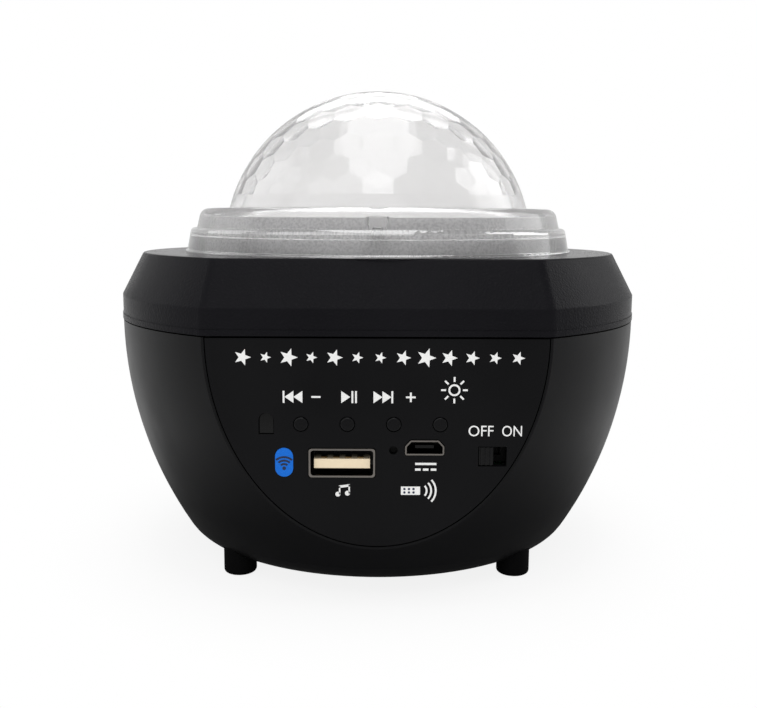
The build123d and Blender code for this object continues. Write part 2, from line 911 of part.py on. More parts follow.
def make_front_panel():
    inward = Vector(0, 1, 0)
    panel = extrude(front_outline(panel_rim + panel_gap), amount=panel_thickness, dir=inward)
    side = bowl_radius
    panel -= block(
        (-side, panel_face - overrun, seam_height - panel_gap),
        (side, panel_back + overrun, seam_height + overrun),
    )
    pilot = small_screw_radius + screw_fit
    for x, z in standoff_places:
        panel += peg(standoff_radius, panel_back - panel_thickness / 2, board_front, x, z)
    for x, z in standoff_places:
        panel -= peg(pilot, panel_back, board_front + overrun, x, z)
    front = panel_face - overrun
    back = panel_back + overrun
    for x in button_xs:
        panel -= peg(button_radius + button_fit, front, back, x, button_z)
    panel -= peg(mic_hole_radius, front, back, mic_x, mic_z)
    panel -= plate(eye_outline(control_fit), front, back)
    panel -= plate(
        Pos(switch_x, switch_z) * Rectangle(switch_slot_width, switch_slot_height), front, back
    )
    panel -= plate(usb_outline(control_fit), front, back)
    panel -= plate(inlet_outline(control_fit), front, back)
    badge_back = panel_face + badge_thickness - badge_proud
    return panel - plate(badge_outline(socket_fit), front, badge_back)


def badge_outline(grow):
    radius = badge_width / 2 + grow
    straight = badge_height - badge_width
    outline = Rectangle(2 * radius, straight)
    for end in (-straight / 2, straight / 2):
        outline += Pos(0, end) * Circle(radius)
    return Pos(badge_x, badge_z) * outline


def make_blue_badge():
    front = panel_face - badge_proud
    return plate(badge_outline(0), front, front + badge_thickness)


def eye_outline(grow):
    """Arched window: straight foot, round head."""
    radius = eye_width / 2 + grow
    foot = -eye_height / 2 - grow
    head = eye_height / 2 - eye_width / 2
    outline = Pos(0, (foot + head) / 2) * Rectangle(2 * radius, head - foot)
    outline += Pos(0, head) * Circle(radius)
    return Pos(eye_x, eye_z) * outline


def make_ir_receiver():
    front = panel_back + part_gap
    back = front + eye_body_depth
    eye = plate(Pos(eye_x, eye_z) * Rectangle(eye_body_width, eye_body_height), front, back)
    eye += plate(eye_outline(0), panel_face + eye_recess, front)
    half = lead_pin_width / 2
    for i in range(eye_pin_count):
        x = eye_x + eye_pin_pitch * (i - (eye_pin_count - 1) / 2)
        z = eye_z - eye_body_height / 4
        eye += block((x - half, back, z - half), (x + half, board_front, z + half))
    return eye


def make_microphone():
    front = panel_back + part_gap
    back = front + mic_depth
    mic = peg(mic_radius, front, back, mic_x, mic_z)
    half = lead_pin_width / 2
    for side in (-1, 1):
        x = mic_x + side * mic_pin_pitch / 2
        mic += block((x - half, back, mic_z - half), (x + half, board_front, mic_z + half))
    return mic


def make_button(x):
    front = panel_face - button_proud
    plunger_front = board_front - tact_depth - plunger_reach
    cap = peg(button_radius, front, panel_back + button_flange_thickness, x, button_z)
    cap = fillet(cap.edges().sort_by(Axis.Y)[0], button_round)
    flange_front = panel_back + socket_fit
    flange_back = flange_front + button_flange_thickness
    cap += peg(button_flange_radius, flange_front, flange_back, x, button_z)
    return cap + peg(button_stem_radius, flange_back - socket_fit, plunger_front, x, button_z)


def make_plunger(x):
    front = board_front - tact_depth - plunger_reach
    return peg(plunger_radius, front, board_front - tact_depth + plunger_seat, x, button_z)


def make_tact_switches():
    bodies = []
    hole_back = board_front - tact_depth + plunger_seat + 2 * button_travel
    for x in button_xs:
        body = plate(
            Pos(x, button_z) * Rectangle(tact_width, tact_width),
            board_front - tact_depth,
            board_front,
        )
        hole_front = board_front - tact_depth - overrun
        body -= peg(plunger_radius + plunger_fit, hole_front, hole_back, x, button_z)
        bodies.append(body)
    return bodies


def make_power_knob():
    """Knob at its off end, the left end of the slot."""
    x = switch_x - switch_travel / 2
    front = panel_face + knob_recess
    back = front + knob_depth
    knob = plate(Pos(x, switch_z) * Rectangle(knob_width, knob_height), front, back)
    gap = knob_width / knob_rib_count
    for i in range(knob_rib_count):
        rib_x = x + gap * (i - (knob_rib_count - 1) / 2)
        rib = Pos(rib_x, switch_z) * Rectangle(knob_rib_width, knob_height)
        knob += plate(rib, front - knob_rib_rise, front)
    stem_back = board_front - switch_depth + stem_engage
    return knob + plate(Pos(x, switch_z) * Rectangle(stem_width, stem_height), back, stem_back)


def make_slide_switch():
    front = board_front - switch_depth
    body = plate(
        Pos(switch_x, switch_z) * Rectangle(switch_width, switch_height), front, board_front
    )
    slot_width = stem_width + switch_travel + 2 * control_fit
    slot = Pos(switch_x, switch_z) * Rectangle(slot_width, stem_height + 2 * control_fit)
    return body - plate(slot, front - overrun, front + stem_engage + control_fit)


def usb_outline(grow):
    outline = RectangleRounded(usb_width + 2 * grow, usb_height + 2 * grow, usb_corner)
    return Pos(usb_x, usb_z) * outline


def make_usb_a_shell():
    front = panel_face - usb_proud
    shell = plate(usb_outline(0), front, board_front)
    return shell - plate(usb_outline(-usb_sheet), front - overrun, board_front + overrun)


def make_usb_a_tongue():
    base_front = board_front - tongue_base
    tongue = plate(usb_outline(-usb_sheet - socket_fit), base_front, board_front)
    blade = Pos(usb_x, usb_z - tongue_drop) * Rectangle(tongue_width, tongue_thickness)
    return tongue + plate(blade, panel_face + tongue_recess, base_front)


def make_usb_a_contacts():
    """Spring strips that lie on the upper side of the tongue."""
    front = panel_face + tongue_recess + contact_recess
    back = board_front - tongue_base
    z = usb_z - tongue_drop + tongue_thickness / 2 + contact_thickness / 2
    strips = []
    for i in range(contact_count):
        x = usb_x + contact_pitch * (i - (contact_count - 1) / 2)
        strip = Pos(x, z) * Rectangle(contact_width, contact_thickness)
        strips.append(plate(strip, front, back))
    return strips


def inlet_outline(grow):
    """Supply inlet: wide straight foot, sloped shoulders, softened corners."""
    half = inlet_width / 2
    top = inlet_height / 2
    shoulder = top - inlet_slope_height
    crown = half - inlet_slope_width
    outline = Polygon(
        (-half, -top), (half, -top), (half, shoulder), (crown, top), (-crown, top), (-half, shoulder),
        align=None,
    )
    outline = fillet(outline.vertices(), inlet_corner)
    if grow:
        outline = offset(outline, amount=grow, kind=Kind.INTERSECTION)
    return Pos(inlet_x, inlet_z) * outline


def make_micro_usb_shell():
    front = panel_face - usb_proud
    shell = plate(inlet_outline(0), front, board_front)
    return shell - plate(inlet_outline(-inlet_sheet), front - overrun, board_front + overrun)


def make_micro_usb_tongue():
    base_front = board_front - tongue_base
    tongue = plate(inlet_outline(-inlet_sheet - socket_fit), base_front, board_front)
    blade = Pos(inlet_x, inlet_z) * Rectangle(inlet_tongue_width, inlet_tongue_thickness)
    return tongue + plate(blade, panel_face + tongue_recess, base_front)


def make_main_board():
    low_half = board_half - board_chamfer
    shoulder = board_bottom + board_chamfer
    outline = Polygon(
        (-low_half, board_bottom), (low_half, board_bottom), (board_half, shoulder),
        (board_half, board_top), (-board_half, board_top), (-board_half, shoulder),
        align=None,
    )
    board = plate(outline, board_front, board_back)
    for x, z in standoff_places:
        hole_radius = small_screw_radius + hole_fit
        board -= peg(hole_radius, board_front - overrun, board_back + overrun, x, z)
    return board


def make_board_screws():
    one = Rot(90, 0, 0) * small_screw(board_thickness + board_standoff / 2)
    return [Pos(x, board_back, z) * one for x, z in standoff_places]


def make_board_chips():
    chips = []
    for x, z, width in ((chip_x, chip_z, chip_width), (amplifier_x, amplifier_z, amplifier_width)):
        chips.append(plate(Pos(x, z) * Rectangle(width, width), board_back, board_back + chip_height))
    return chips


def make_board_capacitors():
    back = board_back + capacitor_length
    xs = (capacitor_x - capacitor_pitch, capacitor_x)
    return [peg(capacitor_radius, board_back, back, x, capacitor_z) for x in xs]


def make_wire_headers():
    places = ((speaker_header_x, speaker_header_z), (lamp_header_x, lamp_header_z))
    outline = Rectangle(header_width, header_height)
    return [plate(Pos(*place) * outline, board_back, board_back + header_depth) for place in places]


def lead(start, corner, end):
    """Lead of round section with one bend, as wide as its upright run leaves room for."""
    bend = abs(end[2] - corner[2]) * lead_bend_share
    path = FilletPolyline(start, corner, end, radius=bend)
    mouth = Plane(origin=path @ 0, z_dir=path % 0)
    return sweep(mouth * Circle(lead_radius), path=path)


def make_speaker_lead():
    y = board_back + header_depth
    x = speaker_header_x
    down = -tag_distance()
    tag_top = flange_top + tag_height
    return lead((x, y, speaker_header_z), (x, down, speaker_header_z), (x, down, tag_top))


def make_lamp_lead():
    y = board_back + header_depth
    x = lamp_header_x
    up = -lamp_lead_distance()
    return lead((x, y, lamp_header_z), (x, up, lamp_header_z), (x, up, tray_floor_top))


def tag_distance():
    """Distance of the speaker's solder tag in front of its axis."""
    return (speaker_flange_width - tag_length) / 2


def speaker_screw_places():
    half = speaker_hole_spacing / 2
    return [(x, y) for x in (-half, half) for y in (-half, half)]


def make_speaker_frame():
    flange = RectangleRounded(speaker_flange_width, speaker_flange_width, speaker_flange_corner)
    frame = extrude(Pos(0, 0, flange_base) * flange, amount=speaker_flange_thickness)
    frame += turned(
        [
            (0, flange_top),
            (basket_radius, flange_top),
            (basket_radius, collar_top),
            (magnet_radius, basket_top),
            (0, basket_top),
        ]
    )
    frame -= turned(
        [
            (0, flange_top),
            (basket_radius - basket_wall, flange_top),
            (basket_radius - basket_wall, collar_top),
            (magnet_radius - basket_wall, basket_top - basket_wall),
            (0, basket_top - basket_wall),
        ]
    )
    frame -= rod(speaker_mouth_radius, flange_base - overrun, flange_top + overrun)
    for place in speaker_screw_places():
        hole_radius = small_screw_radius + hole_fit
        frame -= rod(hole_radius, flange_base - overrun, flange_top + overrun, place)
    tag_x = speaker_header_x
    tag_y = -tag_distance()
    frame += block(
        (tag_x - tag_width / 2, tag_y - tag_length / 2, flange_top),
        (tag_x + tag_width / 2, tag_y + tag_length / 2, flange_top + tag_height),
    )
    return frame


def make_speaker_magnet():
    return rod(magnet_radius, basket_top, basket_top + magnet_height)


def make_speaker_cone():
    """Paper cone with its roll at the rim and a closed dust cap at the neck."""
    neck = flange_top + cone_depth
    return turned(
        [
            (0, neck),
            (cone_neck_radius, neck),
            (speaker_mouth_radius - cone_sheet, flange_top),
            (cone_rim_radius, flange_top),
            (cone_rim_radius, flange_top + cone_sheet),
            (speaker_mouth_radius, flange_top + cone_sheet),
            (cone_neck_radius, neck + cone_sheet),
            (0, neck + cone_sheet),
        ]
    )


def make_speaker_gasket():
    return ring(gasket_outer_radius, speaker_mouth_radius, bowl_floor, flange_base)


def make_speaker_screws():
    one = Pos(0, 0, flange_top) * Rot(180, 0, 0) * small_screw(speaker_screw_length)
    return [Pos(*place) * one for place in speaker_screw_places()]


pieces = {
    "bottom_bowl": make_bottom_bowl(),
    "front_panel": make_front_panel(),
    "top_cover": make_top_cover(),
    "clear_dome": make_clear_dome(),
    "lamp_tray": make_lamp_tray(),
    "lamp_board": make_lamp_board(),
    "leds": make_leds(),
    "led_lenses": make_led_lenses(),
    "effect_disc": make_effect_disc(),
    "drive_gear": make_drive_gear(),
    "disc_axle": make_disc_axle(),
    "disc_clip": make_disc_clip(),
    "gear_motor": make_gear_motor(),
    "motor_shaft": make_motor_shaft(),
    "motor_pinion": make_motor_pinion(),
    "main_board": make_main_board(),
    "board_chips": make_board_chips(),
    "board_capacitors": make_board_capacitors(),
    "wire_headers": make_wire_headers(),
    "tact_switches": make_tact_switches(),
    "slide_switch": make_slide_switch(),
    "power_knob": make_power_knob(),
    "usb_a_shell": make_usb_a_shell(),
    "usb_a_tongue": make_usb_a_tongue(),
    "usb_a_contacts": make_usb_a_contacts(),
    "micro_usb_shell": make_micro_usb_shell(),
    "micro_usb_tongue": make_micro_usb_tongue(),
    "ir_receiver": make_ir_receiver(),
    "microphone": make_microphone(),
    "blue_badge": make_blue_badge(),
    "speaker_frame": make_speaker_frame(),
    "speaker_magnet": make_speaker_magnet(),
    "speaker_cone": make_speaker_cone(),
    "speaker_gasket": make_speaker_gasket(),
    "speaker_lead": make_speaker_lead(),
    "lamp_lead": make_lamp_lead(),
    "case_screws": make_case_screws(),
    "dome_screws": make_dome_screws(),
    "board_screws": make_board_screws(),
    "lamp_screws": make_lamp_screws(),
    "motor_screws": make_motor_screws(),
    "speaker_screws": make_speaker_screws(),
}
for name, x in zip(button_names, button_xs):
    pieces[f"button_{name}"] = make_button(x)
    pieces[f"plunger_{name}"] = make_plunger(x)
for name, place in foot_places.items():
    pieces[f"foot_{name}"] = make_foot(place)

# The dome's axis stands off the middle of the footprint because the front is cut flat
axis_to_middle = (band_radius - band_flat) / 2
to_frame = Pos(0, -axis_to_middle, 0)

os.makedirs("parts", exist_ok=True)
for name, shape in pieces.items():
    solids = shape if isinstance(shape, list) else [shape]
    moved = [to_frame * solid for solid in solids]
    export_step(moved[0] if len(moved) == 1 else Compound(children=moved), f"parts/{name}.step")
print("dome axis stands", round(axis_to_middle, 3), "mm in front of the middle of the footprint")
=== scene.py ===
# %% [markdown]
# A desk light projector: a round black case with a flat control front, four rubber feet and a
# clear dome whose inner side is cut into hexagons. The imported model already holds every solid
# piece in its true place. This script dresses it: a finish for each material, the white prints on
# the front, a camera where the photographer stood, and plain studio light.

import math

import bmesh
import bpy
from mathutils import Euler, Matrix, Vector


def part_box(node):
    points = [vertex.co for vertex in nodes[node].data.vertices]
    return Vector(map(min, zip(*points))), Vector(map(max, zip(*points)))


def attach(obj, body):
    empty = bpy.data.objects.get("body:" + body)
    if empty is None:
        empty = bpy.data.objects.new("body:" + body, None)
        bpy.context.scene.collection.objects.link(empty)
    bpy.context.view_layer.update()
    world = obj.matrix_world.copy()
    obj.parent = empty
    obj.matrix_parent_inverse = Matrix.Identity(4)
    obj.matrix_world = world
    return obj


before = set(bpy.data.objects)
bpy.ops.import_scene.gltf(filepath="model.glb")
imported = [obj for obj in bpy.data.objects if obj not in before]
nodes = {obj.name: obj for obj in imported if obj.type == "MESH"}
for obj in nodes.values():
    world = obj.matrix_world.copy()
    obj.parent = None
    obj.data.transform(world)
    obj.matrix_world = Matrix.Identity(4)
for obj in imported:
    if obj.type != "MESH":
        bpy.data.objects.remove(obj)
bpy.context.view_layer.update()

# %% [markdown]
# The camera comes first, because every later choice is judged through it. It could be placed by
# eye, but then distance and lens trade off against each other. Its distance, height, pitch and
# lens were worked out from the width of the type A socket and the outline of the case instead.
# It stands close, level with the upper tier of the dome's rim, and looks down by about eight
# degrees.

# %% Camera
MM = 0.001
CAMERA_PLACE = Vector((0.25, -231.95, 77.8)) * MM
CAMERA_PITCH = math.radians(81.63)
CAMERA_ROLL = 0.004
CAMERA_LENS = 43.81
SENSOR_WIDTH = 36.0
NEAREST_SEEN = 0.01

camera_data = bpy.data.cameras.new("photo_camera")
camera_data.sensor_width = SENSOR_WIDTH
camera_data.lens = CAMERA_LENS
camera_data.clip_start = NEAREST_SEEN
camera = bpy.data.objects.new("photo_camera", camera_data)
camera.location = CAMERA_PLACE
turn = Euler((CAMERA_PITCH, 0, 0)).to_matrix() @ Matrix.Rotation(CAMERA_ROLL, 3, "Z")
camera.rotation_euler = turn.to_euler()
bpy.context.scene.collection.objects.link(camera)
bpy.context.scene.camera = camera
bpy.context.scene.view_settings.view_transform = "Standard"
print("camera at", [round(v, 4) for v in camera.location])

# %% [markdown]
# Every material and the world are node trees. They could be wired by hand in the editor, but in
# code the same wiring can be read and repeated. A few helpers keep it short: each adds one node,
# connects it and hands back the socket to go on from.

# %% Helpers for node trees
def link(tree, source, target):
    tree.links.new(source, target)


def feed(tree, value, target):
    """Connects a socket to the target, or sets a plain value on it."""
    if isinstance(value, bpy.types.NodeSocket):
        link(tree, value, target)
    else:
        target.default_value = value


def math_node(tree, operation, first, second):
    node = tree.nodes.new("ShaderNodeMath")
    node.operation = operation
    feed(tree, first, node.inputs[0])
    feed(tree, second, node.inputs[1])
    return node.outputs["Value"]


def product(tree, first, second):
    return math_node(tree, "MULTIPLY", first, second)


def largest(tree, first, second):
    return math_node(tree, "MAXIMUM", first, second)


def map_range(tree, value, from_low, from_high, to_low, to_high):
    """Map Range node with its four ends set."""
    node = tree.nodes.new("ShaderNodeMapRange")
    ends = {"From Min": from_low, "From Max": from_high, "To Min": to_low, "To Max": to_high}
    for title, level in ends.items():
        node.inputs[title].default_value = level
    link(tree, value, node.inputs["Value"])
    return node.outputs["Result"]


def split_axes(tree, vector):
    """Separate XYZ node on a vector; returns its three outputs."""
    node = tree.nodes.new("ShaderNodeSeparateXYZ")
    link(tree, vector, node.inputs["Vector"])
    return node.outputs


print("helpers ready")

# %% [markdown]
# Product photographs of black, shiny things are made in a white surround with a few soft boxes.
# The world is white to the camera and nearly white to the clear dome. Shiny black plastic sees it
# darker overhead, as a room is above a sweep of paper, which keeps the slopes of the case deep.
# Walls and flags could be built for that, but a Light Path node tells the rays apart without them.

# %% World
CLEAR_LEVEL = 1.0
TENT_TOP_LEVEL = 0.94
TENT_RISE = 0.3
HORIZON_LEVEL = 0.7
OVERHEAD_LEVEL = 0.24
SKY_RISE = 0.9
FILL_LEVEL = 0.65

world = bpy.data.worlds.new("white_surround")
bpy.context.scene.world = world
world.use_nodes = True
tree = world.node_tree
ray = tree.nodes.new("ShaderNodeLightPath").outputs
direction = tree.nodes.new("ShaderNodeTexCoord").outputs["Generated"]
rise = split_axes(tree, direction)["Z"]
sky = map_range(tree, rise, 0.0, SKY_RISE, HORIZON_LEVEL, OVERHEAD_LEVEL)
tent = map_range(tree, rise, 0.0, TENT_RISE, CLEAR_LEVEL, TENT_TOP_LEVEL)
strength = largest(tree, ray["Is Camera Ray"], product(tree, ray["Is Transmission Ray"], tent))
strength = largest(tree, strength, product(tree, ray["Is Glossy Ray"], sky))
strength = largest(tree, strength, product(tree, ray["Is Diffuse Ray"], FILL_LEVEL))
backdrop = tree.nodes["Background"]
backdrop.inputs["Color"].default_value = (1, 1, 1, 1)
link(tree, strength, backdrop.inputs["Strength"])
print("world", world.name)

# %% [markdown]
# The floor of such a photograph is a roll of pale paper. One flat sheet is enough here, a hair
# below the feet so that the two never share a plane.

# %% Floor
FLOOR_HALF = 4.0
FLOOR_LEVEL = -0.05 * MM

mesh = bpy.data.meshes.new("floor")
quarters = ((-1, -1), (1, -1), (1, 1), (-1, 1))
corners = [(x * FLOOR_HALF, y * FLOOR_HALF, FLOOR_LEVEL) for x, y in quarters]
mesh.from_pydata(corners, [], [(0, 1, 2, 3)])
floor = bpy.data.objects.new("floor", mesh)
bpy.context.scene.collection.objects.link(floor)
print("floor", 2 * FLOOR_HALF, "m wide")

# %% [markdown]
# The paper holds a faint shadow close to the case and fades to the white of the backdrop further
# out, so that no horizon shows. What the black front mirrors is a glow with painted shade in it: a
# painted shadow right under the case, bright just before it, and painted shade again towards the
# camera. From below it is clear, so that the underside of the case can be looked at.

# %% Paper of the floor
PAPER_COLOUR = (0.85, 0.85, 0.85, 1)
PAPER_ROUGHNESS = 0.9
PAINTED_SHADOW_LEVEL = 0.05
SHEET_LEVEL = 0.8
SHEET_START, SHEET_END = 0.06, 0.11
PAINTED_FRONT_SHADE = 0.15
FRONT_FAR, FRONT_NEAR = -0.3, -0.12


def vector_node(tree, operation, vector, other):
    node = tree.nodes.new("ShaderNodeVectorMath")
    node.operation = operation
    link(tree, vector, node.inputs[0])
    node.inputs[1].default_value = other
    return node.outputs


sheet = bpy.data.materials.new("floor_sheet")
sheet.use_nodes = True
tree = sheet.node_tree
shader = tree.nodes["Principled BSDF"]
shader.inputs["Base Color"].default_value = PAPER_COLOUR
shader.inputs["Roughness"].default_value = PAPER_ROUGHNESS
shader.inputs["Specular IOR Level"].default_value = 0.0
ray = tree.nodes.new("ShaderNodeLightPath").outputs
place = tree.nodes.new("ShaderNodeTexCoord").outputs["Object"]
away = vector_node(tree, "DISTANCE", place, (0, 0, 0))["Value"]
# Painted shadow and shade, seen only in reflections: the glow is dark under the case and dimmer towards
# the camera.
painted_shadow = map_range(tree, away, SHEET_START, SHEET_END, PAINTED_SHADOW_LEVEL, SHEET_LEVEL)
painted_front_shade = map_range(tree, split_axes(tree, place)["Y"], FRONT_FAR, FRONT_NEAR, PAINTED_FRONT_SHADE, 1.0)
mirrored = product(tree, product(tree, painted_shadow, painted_front_shade), ray["Is Glossy Ray"])
direct = math_node(tree, "SUBTRACT", 1.0, ray["Is Glossy Ray"])
glow = tree.nodes.new("ShaderNodeEmission")
link(tree, math_node(tree, "ADD", mirrored, direct), glow.inputs["Strength"])
print("paper", sheet.name)

# %% [markdown]
# Two Mix Shader nodes put the paper together. The first lets the glow take over from the lit paper
# wherever the floor is seen, whether directly, through the dome or as a reflection. The second
# makes the sheet one-sided.

# %% Mixing the paper
SHADOW_GLOW = 0.86
FADE_START, FADE_END = 0.055, 0.085


def mix_shader(tree, share, first, second):
    node = tree.nodes.new("ShaderNodeMixShader")
    link(tree, share, node.inputs["Fac"])
    link(tree, first, node.inputs[1])
    link(tree, second, node.inputs[2])
    return node.outputs["Shader"]


shown = largest(tree, ray["Is Camera Ray"], ray["Is Transmission Ray"])
shown = largest(tree, shown, ray["Is Glossy Ray"])
fade = map_range(tree, away, FADE_START, FADE_END, SHADOW_GLOW, 1.0)
paper = mix_shader(tree, product(tree, shown, fade), shader.outputs["BSDF"], glow.outputs["Emission"])
side = tree.nodes.new("ShaderNodeNewGeometry")
unseen = tree.nodes.new("ShaderNodeBsdfTransparent")
paper = mix_shader(tree, side.outputs["Backfacing"], paper, unseen.outputs["BSDF"])
link(tree, paper, tree.nodes["Material Output"].inputs["Surface"])
mesh.materials.append(sheet)
print("floor wears", floor.data.materials[0].name)

# %% [markdown]
# Five soft boxes: one on each side a little behind the case, which draw the soft slopes on its
# flanks, one high behind it, a long one overhead that the facets of the dome mirror piece by
# piece, and a very large one beside the camera that fills the control front. They are large and
# dim, because a black shell mirrors a small bright lamp as a hard white patch.

# %% Soft boxes
# Place and size in metres, power in watts.
SOFT_BOXES = {
    "left_box": ((-0.8, 0.2, 0.4), (0.6, 0.8), 0.8),
    "right_box": ((0.8, 0.2, 0.4), (0.6, 0.8), 2.4),
    "back_box": ((0.0, 0.6, 0.65), (0.7, 0.5), 1.6),
    "front_box": ((-0.3, -0.65, 0.45), (1.4, 1.0), 2.2),
    "top_box": ((0.0, -0.1, 0.9), (0.6, 1.4), 3.3),
}
AIM = Vector((0, 0, 0.06))

for name, (stand, size, power) in SOFT_BOXES.items():
    lamp = bpy.data.lights.new(name, "AREA")
    lamp.shape = "ELLIPSE"
    lamp.size, lamp.size_y = size
    lamp.energy = power
    box = bpy.data.objects.new(name, lamp)
    box.location = stand
    box.rotation_euler = (AIM - Vector(stand)).to_track_quat("-Z", "Y").to_euler()
    bpy.context.scene.collection.objects.link(box)
print("soft boxes", len(SOFT_BOXES))

# %% [markdown]
# Most finishes share two effects. Moulded plastic has a fine spark-eroded grain and slow patches
# where the tool was polished a little more. Both could be painted as images, but noise on the
# piece's own coordinates needs no unwrapping and stays sharp close up. One node group gives them
# to every material, with the sizes as inputs.

# %% Shared effect: moulding grain
GRAIN_SIZE = 0.4
PATCH_SIZE = 20.0
GRAIN_DETAIL = 2.0
PATCH_DETAIL = 3.0


def new_group(name, inputs, outputs):
    """Empty shader node group with named sockets; inputs carry a default value."""
    group = bpy.data.node_groups.new(name, "ShaderNodeTree")
    for title, value in inputs.items():
        socket = group.interface.new_socket(title, in_out="INPUT", socket_type="NodeSocketFloat")
        socket.default_value = value
    for title in outputs:
        group.interface.new_socket(title, in_out="OUTPUT", socket_type="NodeSocketFloat")
    return group, group.nodes.new("NodeGroupInput"), group.nodes.new("NodeGroupOutput")


def noise_of_size(group, coordinates, size_socket, detail):
    """Noise whose features are about as wide as the size socket says, in metres."""
    noise = group.nodes.new("ShaderNodeTexNoise")
    noise.inputs["Detail"].default_value = detail
    link(group, coordinates, noise.inputs["Vector"])
    link(group, math_node(group, "DIVIDE", 1.0, size_socket), noise.inputs["Scale"])
    return noise.outputs["Fac"]


sizes = {"Grain Size": GRAIN_SIZE * MM, "Patch Size": PATCH_SIZE * MM}
grain_group, ends_in, ends_out = new_group("moulding_grain", sizes, ["Grain", "Patch"])
place = grain_group.nodes.new("ShaderNodeTexCoord").outputs["Object"]
fine = noise_of_size(grain_group, place, ends_in.outputs["Grain Size"], GRAIN_DETAIL)
slow = noise_of_size(grain_group, place, ends_in.outputs["Patch Size"], PATCH_DETAIL)
link(grain_group, fine, ends_out.inputs["Grain"])
link(grain_group, slow, ends_out.inputs["Patch"])
print("group", grain_group.name)

# %% [markdown]
# A little dust settles on what faces up, in specks rather than a film. Grains could be scattered
# as geometry, but at this size a mask does as well. The second group makes it: the upward part
# of the normal times a sharpened noise.

# %% Shared effect: settled dust
SPECK_SIZE = 0.4
SPECK_DETAIL = 1.0
SPECK_START, SPECK_END = 0.58, 0.75
UP_START = 0.2
DUST_AMOUNT = 0.3

sizes = {"Speck Size": SPECK_SIZE * MM, "Amount": DUST_AMOUNT}
dust_group, ends_in, ends_out = new_group("settled_dust", sizes, ["Dust"])
place = dust_group.nodes.new("ShaderNodeTexCoord").outputs["Object"]
specks = noise_of_size(dust_group, place, ends_in.outputs["Speck Size"], SPECK_DETAIL)
sharp = map_range(dust_group, specks, SPECK_START, SPECK_END, 0, 1)
facing = dust_group.nodes.new("ShaderNodeNewGeometry").outputs["Normal"]
up = map_range(dust_group, split_axes(dust_group, facing)["Z"], UP_START, 1, 0, 1)
dust = product(dust_group, product(dust_group, sharp, up), ends_in.outputs["Amount"])
link(dust_group, dust, ends_out.inputs["Dust"])
print("group", dust_group.name)

# %% [markdown]
# One function makes every opaque finish from a few plain numbers: its colour and how far the
# patches shift it, its roughness and how far that wanders, how wide and deep the grain is in
# millimetres, and how much dust lies on it. Values that are the same all over are set on the
# shader itself.

# %% How a finish is made
PATCH_LOW, PATCH_HIGH = 0.3, 0.7
DUST_COLOUR = (0.42, 0.41, 0.39, 1)


def place_group(tree, group, **values):
    node = tree.nodes.new("ShaderNodeGroup")
    node.node_tree = group
    for title, value in values.items():
        node.inputs[title.replace("_", " ").title()].default_value = value
    return node.outputs


def mix_colour(tree, share, first, second):
    """Mix node for colours; each end is a socket or a colour."""
    node = tree.nodes.new("ShaderNodeMix")
    node.data_type = "RGBA"
    link(tree, share, node.inputs["Factor"])
    feed(tree, first, node.inputs["A"])
    feed(tree, second, node.inputs["B"])
    return node.outputs["Result"]


def bump_from(tree, height, depth):
    """Bump node of the given depth in millimetres, linked to the shader's normal."""
    bump = tree.nodes.new("ShaderNodeBump")
    bump.inputs["Distance"].default_value = depth * MM
    link(tree, height, bump.inputs["Height"])
    link(tree, bump.outputs["Normal"], tree.nodes["Principled BSDF"].inputs["Normal"])
    return bump


def finish_of(name, colour, rough, wander=0.06, tint=0.25, grain=GRAIN_SIZE, depth=0.01,
              dust=0.0, metal=0.0, specular=0.5):
    """Opaque material: grain in the normal, patches in colour and roughness, dust on top."""
    material = bpy.data.materials.new(name)
    material.use_nodes = True
    tree = material.node_tree
    shader = tree.nodes["Principled BSDF"]
    shader.inputs["Metallic"].default_value = metal
    shader.inputs["Specular IOR Level"].default_value = specular
    texture = place_group(tree, grain_group, grain_size=grain * MM, patch_size=PATCH_SIZE * MM)
    roughness = map_range(tree, texture["Patch"], PATCH_LOW, PATCH_HIGH, rough - wander, rough + wander)
    link(tree, roughness, shader.inputs["Roughness"])
    darker = (*[c * (1 - tint) for c in colour], 1)
    lighter = (*[min(1, c * (1 + tint)) for c in colour], 1)
    surface = mix_colour(tree, texture["Patch"], darker, lighter)
    if dust:
        film = place_group(tree, dust_group, amount=dust)
        surface = mix_colour(tree, film["Dust"], surface, DUST_COLOUR)
    link(tree, surface, shader.inputs["Base Color"])
    bump_from(tree, texture["Grain"], depth)
    return material


print("patches between", PATCH_LOW, "and", PATCH_HIGH)

# %% [markdown]
# The table of finishes. The black plastics differ on the real object: the bowl is satin, the cover
# has a deeper grain and hardly shines, the panel is flat and dull, and the rubber feet swallow
# light. The metals are plain, with a roughness for plating, cans and screws.

